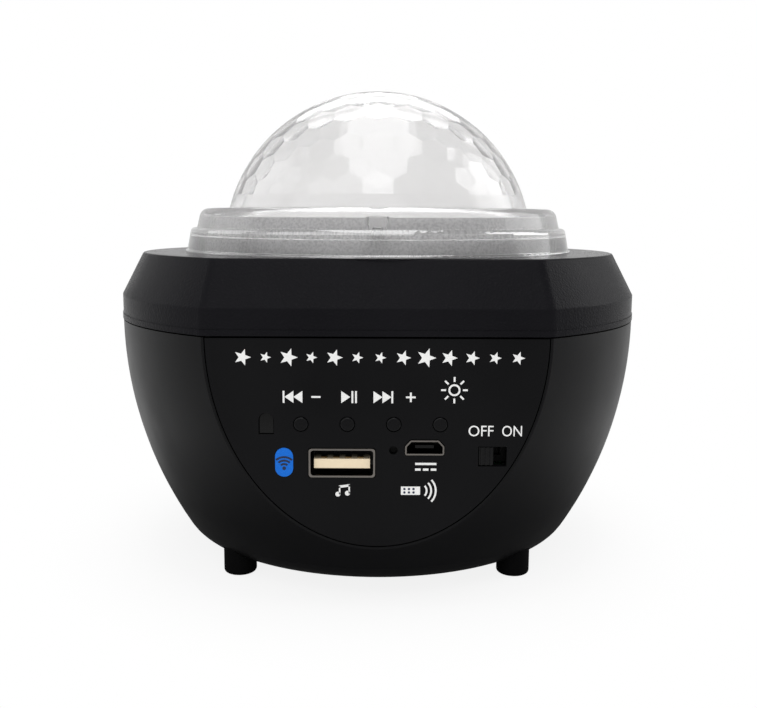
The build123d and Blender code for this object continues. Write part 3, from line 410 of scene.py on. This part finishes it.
# %% Finishes
finishes = {
    "case": finish_of("case_black", (0.004, 0.004, 0.0045), 0.38, dust=0.04, specular=0.13),
    "cover": finish_of("cover_black", (0.0075, 0.0073, 0.0088), 0.3, dust=0.02, depth=0.1, specular=0.04),
    "panel": finish_of("panel_black", (0.004, 0.004, 0.0046), 0.42, specular=0.11),
    "rubber": finish_of("foot_rubber", (0.0022, 0.0022, 0.0024), 0.7, depth=0.04, specular=0.06),
    "button": finish_of("button_black", (0.003, 0.003, 0.0035), 0.25, specular=0.2),
    "knob": finish_of("knob_black", (0.0025, 0.0025, 0.0028), 0.25, specular=0.25),
    "plated": finish_of("socket_plated", (0.26, 0.24, 0.22), 0.3, metal=1.0, depth=0.004),
    "ivory": finish_of("socket_ivory", (0.88, 0.74, 0.52), 0.4, tint=0.08),
    "gold": finish_of("contact_gold", (0.3, 0.19, 0.07), 0.3, metal=1.0, depth=0.004),
    "black_part": finish_of("switch_black", (0.006, 0.006, 0.006), 0.45, specular=0.2),
    "eye": finish_of("eye_resin", (0.001, 0.001, 0.001), 0.12, wander=0.03, depth=0.002, specular=0.4),
    "can": finish_of("can_aluminium", (0.6, 0.61, 0.62), 0.32, metal=1.0, depth=0.004),
    "blue": finish_of("badge_blue", (0.002, 0.13, 0.58), 0.3, tint=0.08, depth=0.004, specular=0.2),
    "tray": finish_of("tray_pale", (0.75, 0.74, 0.75), 0.5, tint=0.06),
    "lamp_board": finish_of("lamp_board_mask", (0.8, 0.8, 0.79), 0.35, tint=0.05, depth=0.004),
    "emitter": finish_of("emitter_resin", (0.8, 0.66, 0.16), 0.3, tint=0.12),
    "gear": finish_of("gear_white", (0.72, 0.72, 0.69), 0.42, tint=0.06),
    "steel": finish_of("zinc_steel", (0.5, 0.5, 0.51), 0.3, metal=1.0),
    "board": finish_of("board_green", (0.008, 0.1, 0.035), 0.35, tint=0.2, depth=0.004),
    "header": finish_of("header_white", (0.72, 0.7, 0.64), 0.5, tint=0.06),
    "basket": finish_of("basket_black", (0.02, 0.02, 0.02), 0.5, depth=0.02),
    "magnet": finish_of("magnet_dark", (0.05, 0.05, 0.055), 0.6, depth=0.04),
    "paper": finish_of("cone_paper", (0.03, 0.03, 0.03), 0.85, grain=1.2, depth=0.1),
    "foam": finish_of("gasket_foam", (0.02, 0.02, 0.02), 0.95, grain=0.8, depth=0.2),
    "lead": finish_of("lead_red", (0.35, 0.015, 0.015), 0.4),
    "ink": finish_of("print_white", (0.8, 0.8, 0.79), 0.5, tint=0.04, grain=0.2, depth=0.004),
    "dark_ink": finish_of("print_navy", (0.004, 0.012, 0.05), 0.5, tint=0.1, depth=0.004),
}
print("finishes", len(finishes))

# %% [markdown]
# The flat top of the cover is polished, while its slopes keep the grain. Seen at a low angle the
# polished ring mirrors the white backdrop as a thin pale rim. Those faces could get a material of
# their own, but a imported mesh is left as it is, so the upward part of the normal picks them out
# and lowers the roughness there.

# %% Polished top of the cover
TOP_SHARE = 0.35
SLOPE_UP, TOP_UP = 0.8, 0.98

tree = finishes["cover"].node_tree
target = tree.nodes["Principled BSDF"].inputs["Roughness"]
satin = target.links[0].from_socket
facing = tree.nodes.new("ShaderNodeNewGeometry").outputs["Normal"]
polish = map_range(tree, split_axes(tree, facing)["Z"], SLOPE_UP, TOP_UP, 1.0, TOP_SHARE)
link(tree, product(tree, satin, polish), target)
print("roughness of the top is", TOP_SHARE, "of the slope's")

# %% [markdown]
# A socket is bright at its mouth and nearly black inside, where little light arrives. That shade is
# painted: the depth behind the panel blends the colour from one to the other, so that the rim stays
# a thin bright line and the ivory tongue stands out before a dark hollow.

# %% Painted shade inside the sockets
INSIDE_SHADE_COLOUR = (0.012, 0.01, 0.008, 1)
INSIDE_SHADE_DEPTHS = {"plated": (0.0, 0.5), "ivory": (2.0, 5.0), "gold": (1.0, 4.0)}

panel_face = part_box("front_panel")[0].y
for finish, (start, end) in INSIDE_SHADE_DEPTHS.items():
    tree = finishes[finish].node_tree
    target = tree.nodes["Principled BSDF"].inputs["Base Color"]
    bright = target.links[0].from_socket
    place = tree.nodes.new("ShaderNodeTexCoord").outputs["Object"]
    behind = split_axes(tree, place)["Y"]
    # Painted shade: the colour darkens with the depth behind the panel.
    socket_shade = map_range(tree, behind, panel_face + start * MM, panel_face + end * MM, 0, 1)
    link(tree, mix_colour(tree, socket_shade, bright, INSIDE_SHADE_COLOUR), target)
print("panel face at", round(panel_face, 5))

# %% [markdown]
# The dome, the lamp lenses and the turning disc are clear plastic. Real mouldings are a little
# milky from flow and handling, so a small share of the surface is left opaque. The index is lower
# than the book gives for the plastic, which keeps the thick outlines of the dome as light as they
# are in the photograph.

# %% Clear plastic
CLEAR_INDEX = 1.4
CLEAR_SHARE = 0.86
CLEAR_GRAIN = 0.5
CLEAR_PATCH = 12.0
CLEAR_LOW, CLEAR_HIGH = 0.35, 0.65
LENS_COLOUR = (0.98, 0.98, 0.98)


def clear_of(name, colour, rough, wander, depth):
    """Clear material; returns it with its bump node, its roughness socket and its texture."""
    material = bpy.data.materials.new(name)
    material.use_nodes = True
    tree = material.node_tree
    shader = tree.nodes["Principled BSDF"]
    shader.inputs["Base Color"].default_value = (*colour, 1)
    shader.inputs["Transmission Weight"].default_value = CLEAR_SHARE
    shader.inputs["IOR"].default_value = CLEAR_INDEX
    texture = place_group(tree, grain_group, grain_size=CLEAR_GRAIN * MM, patch_size=CLEAR_PATCH * MM)
    roughness = map_range(tree, texture["Patch"], CLEAR_LOW, CLEAR_HIGH, rough, rough + wander)
    link(tree, roughness, shader.inputs["Roughness"])
    bump = bump_from(tree, texture["Grain"], depth)
    return material, bump, roughness, texture


finishes["lens"] = clear_of("lens_clear", LENS_COLOUR, rough=0.01, wander=0.02, depth=0.001)[0]
print("clear index", CLEAR_INDEX)

# %% [markdown]
# The dome is one moulding, but it shows four kinds of surface: polished skin, frosted rim walls,
# sharp edges that catch the light, and facets. One material does them all, with masks that read
# where a point lies: its height above the table and its distance from the axis of the dome.

# %% Places on the dome
DOME_COLOUR = (0.97, 0.965, 0.965)


def above(tree, value, limit):
    return math_node(tree, "GREATER_THAN", value, limit)


def below(tree, value, limit):
    return math_node(tree, "LESS_THAN", value, limit)


dome_low, dome_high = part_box("clear_dome")
dome_axis = (dome_low + dome_high) / 2
dome, bump, polished, texture = clear_of("dome_clear", DOME_COLOUR, rough=0.085, wander=0.05, depth=0.03)
finishes["dome"] = dome
tree = dome.node_tree
shader = tree.nodes["Principled BSDF"]
place = tree.nodes.new("ShaderNodeTexCoord").outputs["Object"]
centred = vector_node(tree, "SUBTRACT", place, (dome_axis.x, dome_axis.y, 0))["Vector"]
height = split_axes(tree, centred)["Z"]
level = vector_node(tree, "MULTIPLY", centred, (1, 1, 0))["Vector"]
radius = vector_node(tree, "DISTANCE", level, (0, 0, 0))["Value"]
print("dome axis at", round(dome_axis.y, 5))

# %% [markdown]
# The inner walls of the stepped rim are left with the grain of the tool, which hides the bosses
# and the tray behind them. They are the points under the ceiling of the rim, outside the dome and
# inside a cone that runs between the two skins of the rim.

# %% Frosted walls of the rim
FROST_ROUGHNESS = 0.4
FROST_TOP = 77.7 * MM
FROST_INNER = 38.5 * MM
CONE_LEAN = 0.5
CONE_SUM = 80.3 * MM

leaning = math_node(tree, "ADD", product(tree, height, CONE_LEAN), radius)
frost = product(tree, below(tree, leaning, CONE_SUM), below(tree, height, FROST_TOP))
frost = product(tree, frost, above(tree, radius, FROST_INNER))
rough = math_node(tree, "ADD", polished, product(tree, frost, FROST_ROUGHNESS))
link(tree, rough, shader.inputs["Roughness"])
link(tree, frost, bump.inputs["Strength"])
print("frost up to", round(FROST_TOP / MM, 1), "mm")

# %% [markdown]
# Light inside the plastic gathers at sharp edges and on the back of each facet, more than one thin
# skin can show. A coat with a high index stands for it: in full on the edge of the ledge and of
# the foot, and in part on the inner skin of the dome, where every hexagon then mirrors its own bit
# of the overhead box.

# %% Glossy edges and facets
EDGE_INDEX = 3.0
# Lowest and highest point and inner radius of each bright edge.
LEDGE_EDGE = (74.5 * MM, 75.65 * MM, 43.6 * MM)
FOOT_EDGE = (70.05 * MM, 70.7 * MM, 45.3 * MM)
FACET_GLEAM = 0.32
FACET_FOOT = 82.5 * MM
SPHERE_CENTRE = 70.6 * MM
SKIN_MIDDLE = 35.7 * MM

from_centre = vector_node(tree, "DISTANCE", centred, (0, 0, SPHERE_CENTRE))["Value"]
facets = product(tree, below(tree, from_centre, SKIN_MIDDLE), above(tree, height, FACET_FOOT))
gloss = product(tree, facets, FACET_GLEAM)
for low, high, inner in (LEDGE_EDGE, FOOT_EDGE):
    edge = product(tree, above(tree, height, low), below(tree, height, high))
    edge = product(tree, edge, above(tree, radius, inner))
    gloss = largest(tree, gloss, edge)
link(tree, gloss, shader.inputs["Coat Weight"])
shader.inputs["Coat IOR"].default_value = EDGE_INDEX
print("facets gleam from", round(FACET_FOOT / MM, 1), "mm up")

# %% [markdown]
# The frosted walls are speckled by the grain, and painted shade makes them greyer at the foot of
# each tier, where less light reaches them. The shade could be painted in two bands, but it starts
# anew with each tier, so the height is taken modulo the height of one tier.

# %% Painted shade of the rim walls
WALL_GRAIN_AND_SHADE_COLOUR = (0.32, 0.32, 0.33)
WALL_FOOT = 70.0 * MM
TIER_PITCH = 5.5 * MM
SHADE_LOW, SHADE_HIGH = 2.4 * MM, 3.8 * MM
FOOT_LIGHT = 0.5
GRAIN_LOW, GRAIN_HIGH = 0.35, 0.6
GRAIN_LIGHT = 0.2

grainy = map_range(tree, texture["Grain"], GRAIN_LOW, GRAIN_HIGH, GRAIN_LIGHT, 1.0)
in_tier = math_node(tree, "MODULO", math_node(tree, "SUBTRACT", height, WALL_FOOT), TIER_PITCH)
# Painted shade: the colour greys towards the foot of each tier, and again in the next tier.
unshaded_share = map_range(tree, in_tier, SHADE_LOW, SHADE_HIGH, FOOT_LIGHT, 1.0)
grain_and_shade = math_node(tree, "SUBTRACT", 1.0, product(tree, grainy, unshaded_share))
shaded_wall = mix_colour(tree, product(tree, frost, grain_and_shade), (*DOME_COLOUR, 1), (*WALL_GRAIN_AND_SHADE_COLOUR, 1))
link(tree, shaded_wall, shader.inputs["Base Color"])
print("tiers", round(TIER_PITCH / MM, 1), "mm high")

# %% [markdown]
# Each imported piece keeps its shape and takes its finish: its material slots are emptied and the
# new one is put in. The list says which finish goes where, and the last line names any piece
# that was left bare.

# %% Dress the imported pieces
WEARS = {
    "case": ["bottom_bowl"],
    "cover": ["top_cover"],
    "panel": ["front_panel"],
    "dome": ["clear_dome"],
    "rubber": ["foot_front_left", "foot_front_right", "foot_rear_left", "foot_rear_right"],
    "button": ["button_previous", "button_play", "button_next", "button_light"],
    "knob": ["power_knob"],
    "plated": ["usb_a_shell", "micro_usb_shell"],
    "ivory": ["usb_a_tongue"],
    "gold": ["usb_a_contacts"],
    "black_part": ["microphone", "micro_usb_tongue", "tact_switches", "slide_switch", "plunger_previous",
                   "plunger_play", "plunger_next", "plunger_light", "board_chips"],
    "eye": ["ir_receiver"],
    "can": ["board_capacitors"],
    "blue": ["blue_badge"],
    "tray": ["lamp_tray"],
    "lamp_board": ["lamp_board"],
    "emitter": ["leds"],
    "lens": ["led_lenses", "effect_disc"],
    "gear": ["drive_gear", "motor_pinion"],
    "steel": ["disc_axle", "disc_clip", "gear_motor", "motor_shaft", "case_screws", "dome_screws",
              "board_screws", "lamp_screws", "motor_screws", "speaker_screws"],
    "board": ["main_board"],
    "header": ["wire_headers"],
    "basket": ["speaker_frame"],
    "magnet": ["speaker_magnet"],
    "paper": ["speaker_cone"],
    "foam": ["speaker_gasket"],
    "lead": ["speaker_lead", "lamp_lead"],
}

for finish, names in WEARS.items():
    for name in names:
        nodes[name].data.materials.clear()
        nodes[name].data.materials.append(finishes[finish])
bare = sorted(set(nodes) - {n for names in WEARS.values() for n in names})
print("dressed", sum(map(len, WEARS.values())), "left bare", bare)

# %% [markdown]
# The white marks on the front are screen printed: a film of ink a few hundredths of a millimetre
# thick. They could be an image on the panel, but as thin solids they stay sharp close up. Each
# mark is drawn as flat outlines, in millimetres from the middle of the case and up from the table.
# A few shapes draw them all.

# %% Shapes for the prints
SPOT_STEPS = 28
ARC_STEPS = 24


def bar(x_low, z_low, x_high, z_high):
    return [(x_low, z_low), (x_high, z_low), (x_high, z_high), (x_low, z_high)]


def arrow(x_base, x_tip, z, height):
    return [(x_base, z - height / 2), (x_tip, z), (x_base, z + height / 2)]


def on_circle(x, z, radius, turns):
    return [(x + radius * math.cos(t), z + radius * math.sin(t)) for t in turns]


def spot(x, z, radius):
    return on_circle(x, z, radius, [math.tau * i / SPOT_STEPS for i in range(SPOT_STEPS)])


def arc(x, z, radius, width, start, end):
    """Part of a ring round (x, z), from one angle in degrees to another."""
    turns = [math.radians(start + (end - start) * i / ARC_STEPS) for i in range(ARC_STEPS + 1)]
    outer = on_circle(x, z, radius + width / 2, turns)
    inner = on_circle(x, z, radius - width / 2, turns)
    return outer + inner[::-1]


def spoke(x, z, start, end, width, angle):
    """Bar that points away from (x, z) at an angle in degrees."""
    t = math.radians(angle)
    along = Vector((math.cos(t), math.sin(t)))
    across = Vector((-along.y, along.x)) * width / 2
    middle = Vector((x, z))
    ends = [along * start - across, along * end - across, along * end + across, along * start + across]
    return [tuple(middle + corner) for corner in ends]


print("a spot has", SPOT_STEPS, "corners")

# %% [markdown]
# An outline becomes a closed prism of the ink's thickness, with its back on the panel. It rides on
# the case, as ink does.

# %% From outline to ink
INK_DEPTH = 0.03 * MM


def add_piece(name, mesh, finish):
    mesh.materials.append(finishes[finish])
    piece = bpy.data.objects.new(name, mesh)
    bpy.context.scene.collection.objects.link(piece)
    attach(piece, "case")


def print_on(name, shapes, face_y, finish):
    """Raises each outline from the face at face_y towards the viewer, by the thickness of the ink."""
    build = bmesh.new()
    for outline in shapes:
        front = [build.verts.new((x * MM, face_y - INK_DEPTH, z * MM)) for x, z in outline]
        back = [build.verts.new((x * MM, face_y, z * MM)) for x, z in outline]
        build.faces.new(front)
        build.faces.new(back[::-1])
        for i in range(len(outline)):
            build.faces.new((front[i], back[i], back[i - 1], front[i - 1]))
    bmesh.ops.recalc_face_normals(build, faces=build.faces)
    mesh = bpy.data.meshes.new(name)
    build.to_mesh(mesh)
    build.free()
    add_piece(name, mesh, finish)


print("ink", round(INK_DEPTH / MM, 3), "mm thick")

# %% [markdown]
# Over the buttons stand the usual transport signs: back, play or pause, and on, with a minus and a
# plus because the outer two also set the volume.

# %% Transport signs
SIGN_Z = 43.25
SIGN_HEIGHT = 2.4
STROKE = 0.36
ARROW = 1.75
BACK_LEFT, PLAY_LEFT, ON_LEFT = -18.45, -7.0, -0.7
MINUS_START, MINUS_END = 5.6, 7.4
PAUSE_GAPS = (0.25, 0.95)
PLUS_OFFSET = 7.3
PLUS_HALF = 0.95

low = SIGN_Z - SIGN_HEIGHT / 2
high = SIGN_Z + SIGN_HEIGHT / 2
half = STROKE / 2
back_tip = BACK_LEFT + STROKE
back_sign = [
    bar(BACK_LEFT, low, back_tip, high),
    arrow(back_tip + ARROW, back_tip, SIGN_Z, SIGN_HEIGHT),
    arrow(back_tip + 2 * ARROW, back_tip + ARROW, SIGN_Z, SIGN_HEIGHT),
    bar(BACK_LEFT + MINUS_START, SIGN_Z - half, BACK_LEFT + MINUS_END, SIGN_Z + half),
]
play_tip = PLAY_LEFT + ARROW
play_sign = [arrow(PLAY_LEFT, play_tip, SIGN_Z, SIGN_HEIGHT)]
play_sign += [bar(play_tip + gap, low, play_tip + gap + STROKE, high) for gap in PAUSE_GAPS]
on_tip = ON_LEFT + 2 * ARROW
plus_x = ON_LEFT + PLUS_OFFSET
on_sign = [
    arrow(ON_LEFT, ON_LEFT + ARROW, SIGN_Z, SIGN_HEIGHT),
    arrow(ON_LEFT + ARROW, on_tip, SIGN_Z, SIGN_HEIGHT),
    bar(on_tip, low, on_tip + STROKE, high),
    bar(plus_x - PLUS_HALF, SIGN_Z - half, plus_x + PLUS_HALF, SIGN_Z + half),
    bar(plus_x - half, SIGN_Z + half, plus_x + half, SIGN_Z + PLUS_HALF),
    bar(plus_x - half, SIGN_Z - PLUS_HALF, plus_x + half, SIGN_Z - half),
]
transport = {"print_back": back_sign, "print_play": play_sign, "print_on": on_sign}
for name, shapes in transport.items():
    print_on(name, shapes, panel_face, "ink")
print("transport signs", len(transport))

# %% [markdown]
# The fourth button changes the light, so it gets a small sun. Its ring is two halves that overlap
# a little, because a closed ring is not a single outline.

# %% Sun over the light button
SUN_X, SUN_Z = 15.1, 44.7
SUN_RADIUS = 1.0
HALF_RING = 182
RAY_START, RAY_END = 1.65, 2.6
RAY_STEP = 45

sun_sign = [arc(SUN_X, SUN_Z, SUN_RADIUS, STROKE, a, a + HALF_RING) for a in (0, 180)]
sun_sign += [spoke(SUN_X, SUN_Z, RAY_START, RAY_END, STROKE, a) for a in range(0, 360, RAY_STEP)]
print_on("print_sun", sun_sign, panel_face, "ink")
print("rays", 360 // RAY_STEP)

# %% [markdown]
# Under the type A socket stands a pair of notes, for the memory stick that plays music, and under
# the supply inlet the direct current sign: a line over three dashes.

# %% Signs under the sockets
NOTE_X, NOTE_Z = -6.75, 23.3
NOTE_HEAD = 0.5
# Place of each head from the foot of the sign, and the top of its stem.
NOTES = ((-0.95, 0.35, 2.0), (0.95, 0.55, 2.3))
STEM_IN, STEM_DROP = 0.2, 0.05
NOTE_BEAM = ((-0.75, 1.6), (1.45, 1.9), (1.45, 2.4), (-0.75, 2.1))
SUPPLY_X, SUPPLY_Z = 9.67, 29.3
SUPPLY_HALF = 2.1
LINE_NEAR, LINE_FAR = 0.35, 0.8
DASHES = (-2.1, -0.55, 1.0)
DASH = 1.1

notes_sign = []
for x, z, top in NOTES:
    head_x, head_z = NOTE_X + x, NOTE_Z + z
    notes_sign.append(spot(head_x, head_z, NOTE_HEAD))
    notes_sign.append(bar(head_x + STEM_IN, head_z - STEM_DROP, head_x + NOTE_HEAD, NOTE_Z + top))
notes_sign.append([(NOTE_X + x, NOTE_Z + z) for x, z in NOTE_BEAM])
line_low, line_high = SUPPLY_Z + LINE_NEAR, SUPPLY_Z + LINE_FAR
dash_low, dash_high = SUPPLY_Z - LINE_FAR, SUPPLY_Z - LINE_NEAR
supply_sign = [bar(SUPPLY_X - SUPPLY_HALF, line_low, SUPPLY_X + SUPPLY_HALF, line_high)]
supply_sign += [bar(SUPPLY_X + x, dash_low, SUPPLY_X + x + DASH, dash_high) for x in DASHES]
print_on("print_notes", notes_sign, panel_face, "ink")
print_on("print_supply", supply_sign, panel_face, "ink")
print("notes", len(NOTES), "dashes", len(DASHES))

# %% [markdown]
# A small handset with waves stands for the remote control. Its keys are dark ink on the white. The
# blue oval carries three waves in dark ink, and they are placed from the oval's own box.

# %% Handset and waves
REMOTE_X, REMOTE_Z = 7.4, 24.4
HANDSET_LEFT, HANDSET_RIGHT, HANDSET_HALF = -2.6, 1.2, 0.85
SENDER = 1.0
REMOTE_WAVES = (1.5, 2.4, 3.3)
WAVE_ANGLE = 42
KEY_COLUMNS, KEY_ROWS = (-1.9, -1.0, -0.1), (-0.35, 0.35)
KEY_RADIUS = 0.24
BADGE_WAVES = (0.95, 1.65, 2.35)
BADGE_STROKE = 0.4
BADGE_START, BADGE_END = 48, 132
BADGE_DROP = 1.3
BADGE_SPOT, BADGE_SPOT_DROP = 0.36, 1.2

hand_left, hand_right = REMOTE_X + HANDSET_LEFT, REMOTE_X + HANDSET_RIGHT
remote_sign = [bar(hand_left, REMOTE_Z - HANDSET_HALF, hand_right, REMOTE_Z + HANDSET_HALF)]
remote_sign += [arc(REMOTE_X + SENDER, REMOTE_Z, r, STROKE, -WAVE_ANGLE, WAVE_ANGLE) for r in REMOTE_WAVES]
keys = [spot(REMOTE_X + x, REMOTE_Z + z, KEY_RADIUS) for x in KEY_COLUMNS for z in KEY_ROWS]
badge_low, badge_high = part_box("blue_badge")
badge_x = (badge_low.x + badge_high.x) / 2 / MM
badge_z = (badge_low.z + badge_high.z) / 2 / MM
foot_z = badge_z - BADGE_DROP
waves = [arc(badge_x, foot_z, r, BADGE_STROKE, BADGE_START, BADGE_END) for r in BADGE_WAVES]
waves.append(spot(badge_x, badge_z - BADGE_SPOT_DROP, BADGE_SPOT))
print_on("print_remote", remote_sign, panel_face, "ink")
print_on("print_keys", keys, panel_face - INK_DEPTH, "dark_ink")
print_on("print_waves", waves, badge_low.y, "dark_ink")
print("keys", len(keys), "waves", len(BADGE_WAVES))

# %% [markdown]
# The slide switch is marked with the words that every switch may carry. Text starts as a curve;
# it is turned into a mesh, fitted to its place and stood upright against the panel.

# %% Words at the switch
WORD_LOW, WORD_HIGH = 35.5, 37.65
WORDS = {"print_off": ("OFF", 18.0, 22.9), "print_on_word": ("ON", 24.6, 28.5)}
HALF_THICK = 0.5
LETTER_STEPS = 4


def print_word(name, word, x_low, x_high):
    """Text fitted between two places along x and between the two heights of the word line."""
    letters = bpy.data.curves.new(name, "FONT")
    letters.body = word
    letters.extrude = HALF_THICK
    letters.resolution_u = LETTER_STEPS
    draft = bpy.data.objects.new(name + "_draft", letters)
    mesh = bpy.data.meshes.new_from_object(draft)
    bpy.data.objects.remove(draft)
    xs = [v.co.x for v in mesh.vertices]
    ys = [v.co.y for v in mesh.vertices]
    left, foot = min(xs), min(ys)
    wide = (x_high - x_low) * MM / (max(xs) - left)
    tall = (WORD_HIGH - WORD_LOW) * MM / (max(ys) - foot)
    for v in mesh.vertices:
        x = x_low * MM + (v.co.x - left) * wide
        z = WORD_LOW * MM + (v.co.y - foot) * tall
        v.co = (x, panel_face - INK_DEPTH * (v.co.z + HALF_THICK), z)
    mesh.materials.clear()
    add_piece(name, mesh, "ink")


for name, (word, x_low, x_high) in WORDS.items():
    print_word(name, word, x_low, x_high)
print("words", len(WORDS))

# %% [markdown]
# A row of stars fills the band at the top of the panel. It is a rule, not a drawing, so Geometry
# Nodes make it. First one star is made: a star curve, filled, raised by the thickness of the ink,
# and closed with a turned copy of the fill as its back.

# %% One star
STAR_POINTS = 5
STAR_WAIST = 0.42
WELD_SHARE = 0.1


def one_star(tree, star_radius):
    """Adds the nodes of one closed star to a tree; returns its geometry socket."""
    star = tree.nodes.new("GeometryNodeCurveStar")
    star.inputs["Points"].default_value = STAR_POINTS
    link(tree, product(tree, star_radius, STAR_WAIST), star.inputs["Inner Radius"])
    link(tree, star_radius, star.inputs["Outer Radius"])
    filled = tree.nodes.new("GeometryNodeFillCurve")
    filled.mode = "NGONS"
    link(tree, star.outputs["Curve"], filled.inputs["Curve"])
    raised = tree.nodes.new("GeometryNodeExtrudeMesh")
    raised.mode = "FACES"
    raised.inputs["Offset Scale"].default_value = INK_DEPTH
    raised.inputs["Individual"].default_value = False
    link(tree, filled.outputs["Mesh"], raised.inputs["Mesh"])
    under = tree.nodes.new("GeometryNodeFlipFaces")
    link(tree, filled.outputs["Mesh"], under.inputs["Mesh"])
    joined = tree.nodes.new("GeometryNodeJoinGeometry")
    link(tree, raised.outputs["Mesh"], joined.inputs["Geometry"])
    link(tree, under.outputs["Mesh"], joined.inputs["Geometry"])
    closed = tree.nodes.new("GeometryNodeMergeByDistance")
    closed.inputs["Distance"].default_value = INK_DEPTH * WELD_SHARE
    link(tree, joined.outputs["Geometry"], closed.inputs["Geometry"])
    return closed.outputs["Geometry"]


print("a star has", STAR_POINTS, "points")

# %% [markdown]
# The row is a line of points with a star on each and a random size with a fixed seed. A star keeps
# its thickness when its width is scaled. The tree ends in Realize Instances and Set Material.

# %% Row of stars
STAR_INPUTS = {
    "Count": 13,
    "Row Start": -26.2 * MM,
    "Row End": 27.4 * MM,
    "Row Height": 51.05 * MM,
    "Star Radius": 2.0 * MM,
    "Smallest Share": 0.5,
    "Seed": 4,
}


def star_tree():
    tree = bpy.data.node_groups.new("row_of_stars", "GeometryNodeTree")
    for title, value in STAR_INPUTS.items():
        kind = "NodeSocketInt" if isinstance(value, int) else "NodeSocketFloat"
        tree.interface.new_socket(title, in_out="INPUT", socket_type=kind)
    tree.interface.new_socket("Geometry", in_out="OUTPUT", socket_type="NodeSocketGeometry")
    ends_in = tree.nodes.new("NodeGroupInput").outputs
    ends_out = tree.nodes.new("NodeGroupOutput")
    row = tree.nodes.new("GeometryNodeMeshLine")
    row.mode = "END_POINTS"
    link(tree, ends_in["Count"], row.inputs["Count"])
    for title, target in (("Row Start", "Start Location"), ("Row End", "Offset")):
        corner = tree.nodes.new("ShaderNodeCombineXYZ")
        corner.inputs["Y"].default_value = panel_face
        link(tree, ends_in[title], corner.inputs["X"])
        link(tree, ends_in["Row Height"], corner.inputs["Z"])
        link(tree, corner.outputs["Vector"], row.inputs[target])
    size = tree.nodes.new("FunctionNodeRandomValue")
    size.data_type = "FLOAT"
    # The node has sockets for every kind of value: input 2 and output 1 are those of plain numbers.
    link(tree, ends_in["Smallest Share"], size.inputs[2])
    link(tree, ends_in["Seed"], size.inputs["Seed"])
    scale = tree.nodes.new("ShaderNodeCombineXYZ")
    scale.inputs["Z"].default_value = 1.0
    link(tree, size.outputs[1], scale.inputs["X"])
    link(tree, size.outputs[1], scale.inputs["Y"])
    put = tree.nodes.new("GeometryNodeInstanceOnPoints")
    put.inputs["Rotation"].default_value = (math.pi / 2, 0, 0)
    link(tree, row.outputs["Mesh"], put.inputs["Points"])
    link(tree, one_star(tree, ends_in["Star Radius"]), put.inputs["Instance"])
    link(tree, scale.outputs["Vector"], put.inputs["Scale"])
    real = tree.nodes.new("GeometryNodeRealizeInstances")
    link(tree, put.outputs["Instances"], real.inputs["Geometry"])
    inked = tree.nodes.new("GeometryNodeSetMaterial")
    inked.inputs["Material"].default_value = finishes["ink"]
    link(tree, real.outputs["Geometry"], inked.inputs["Geometry"])
    link(tree, inked.outputs["Geometry"], ends_out.inputs["Geometry"])
    return tree


row_tree = star_tree()
print("tree", row_tree.name, "nodes", len(row_tree.nodes))

# %% [markdown]
# The tree runs as a modifier on an empty mesh. Its result is taken out as a plain mesh, and the
# carrier with its modifier goes away, so that only finished geometry is left in the scene.

# %% Stars on the panel
def from_nodes(name, tree, values):
    """Runs a Geometry Nodes tree on an empty mesh and returns its result as a plain mesh."""
    carrier = bpy.data.objects.new(name + "_carrier", bpy.data.meshes.new(name + "_carrier"))
    bpy.context.scene.collection.objects.link(carrier)
    modifier = carrier.modifiers.new("rule", "NODES")
    modifier.node_group = tree
    for item in tree.interface.items_tree:
        if item.in_out == "INPUT":
            modifier[item.identifier] = values[item.name]
    evaluated = carrier.evaluated_get(bpy.context.evaluated_depsgraph_get())
    mesh = bpy.data.meshes.new_from_object(evaluated)
    carrier.modifiers.remove(modifier)
    bpy.data.objects.remove(carrier)
    return mesh


stars = from_nodes("print_stars", row_tree, STAR_INPUTS)
stars.materials.clear()
add_piece("print_stars", stars, "ink")
print("stars", STAR_INPUTS["Count"], "faces", len(stars.polygons))
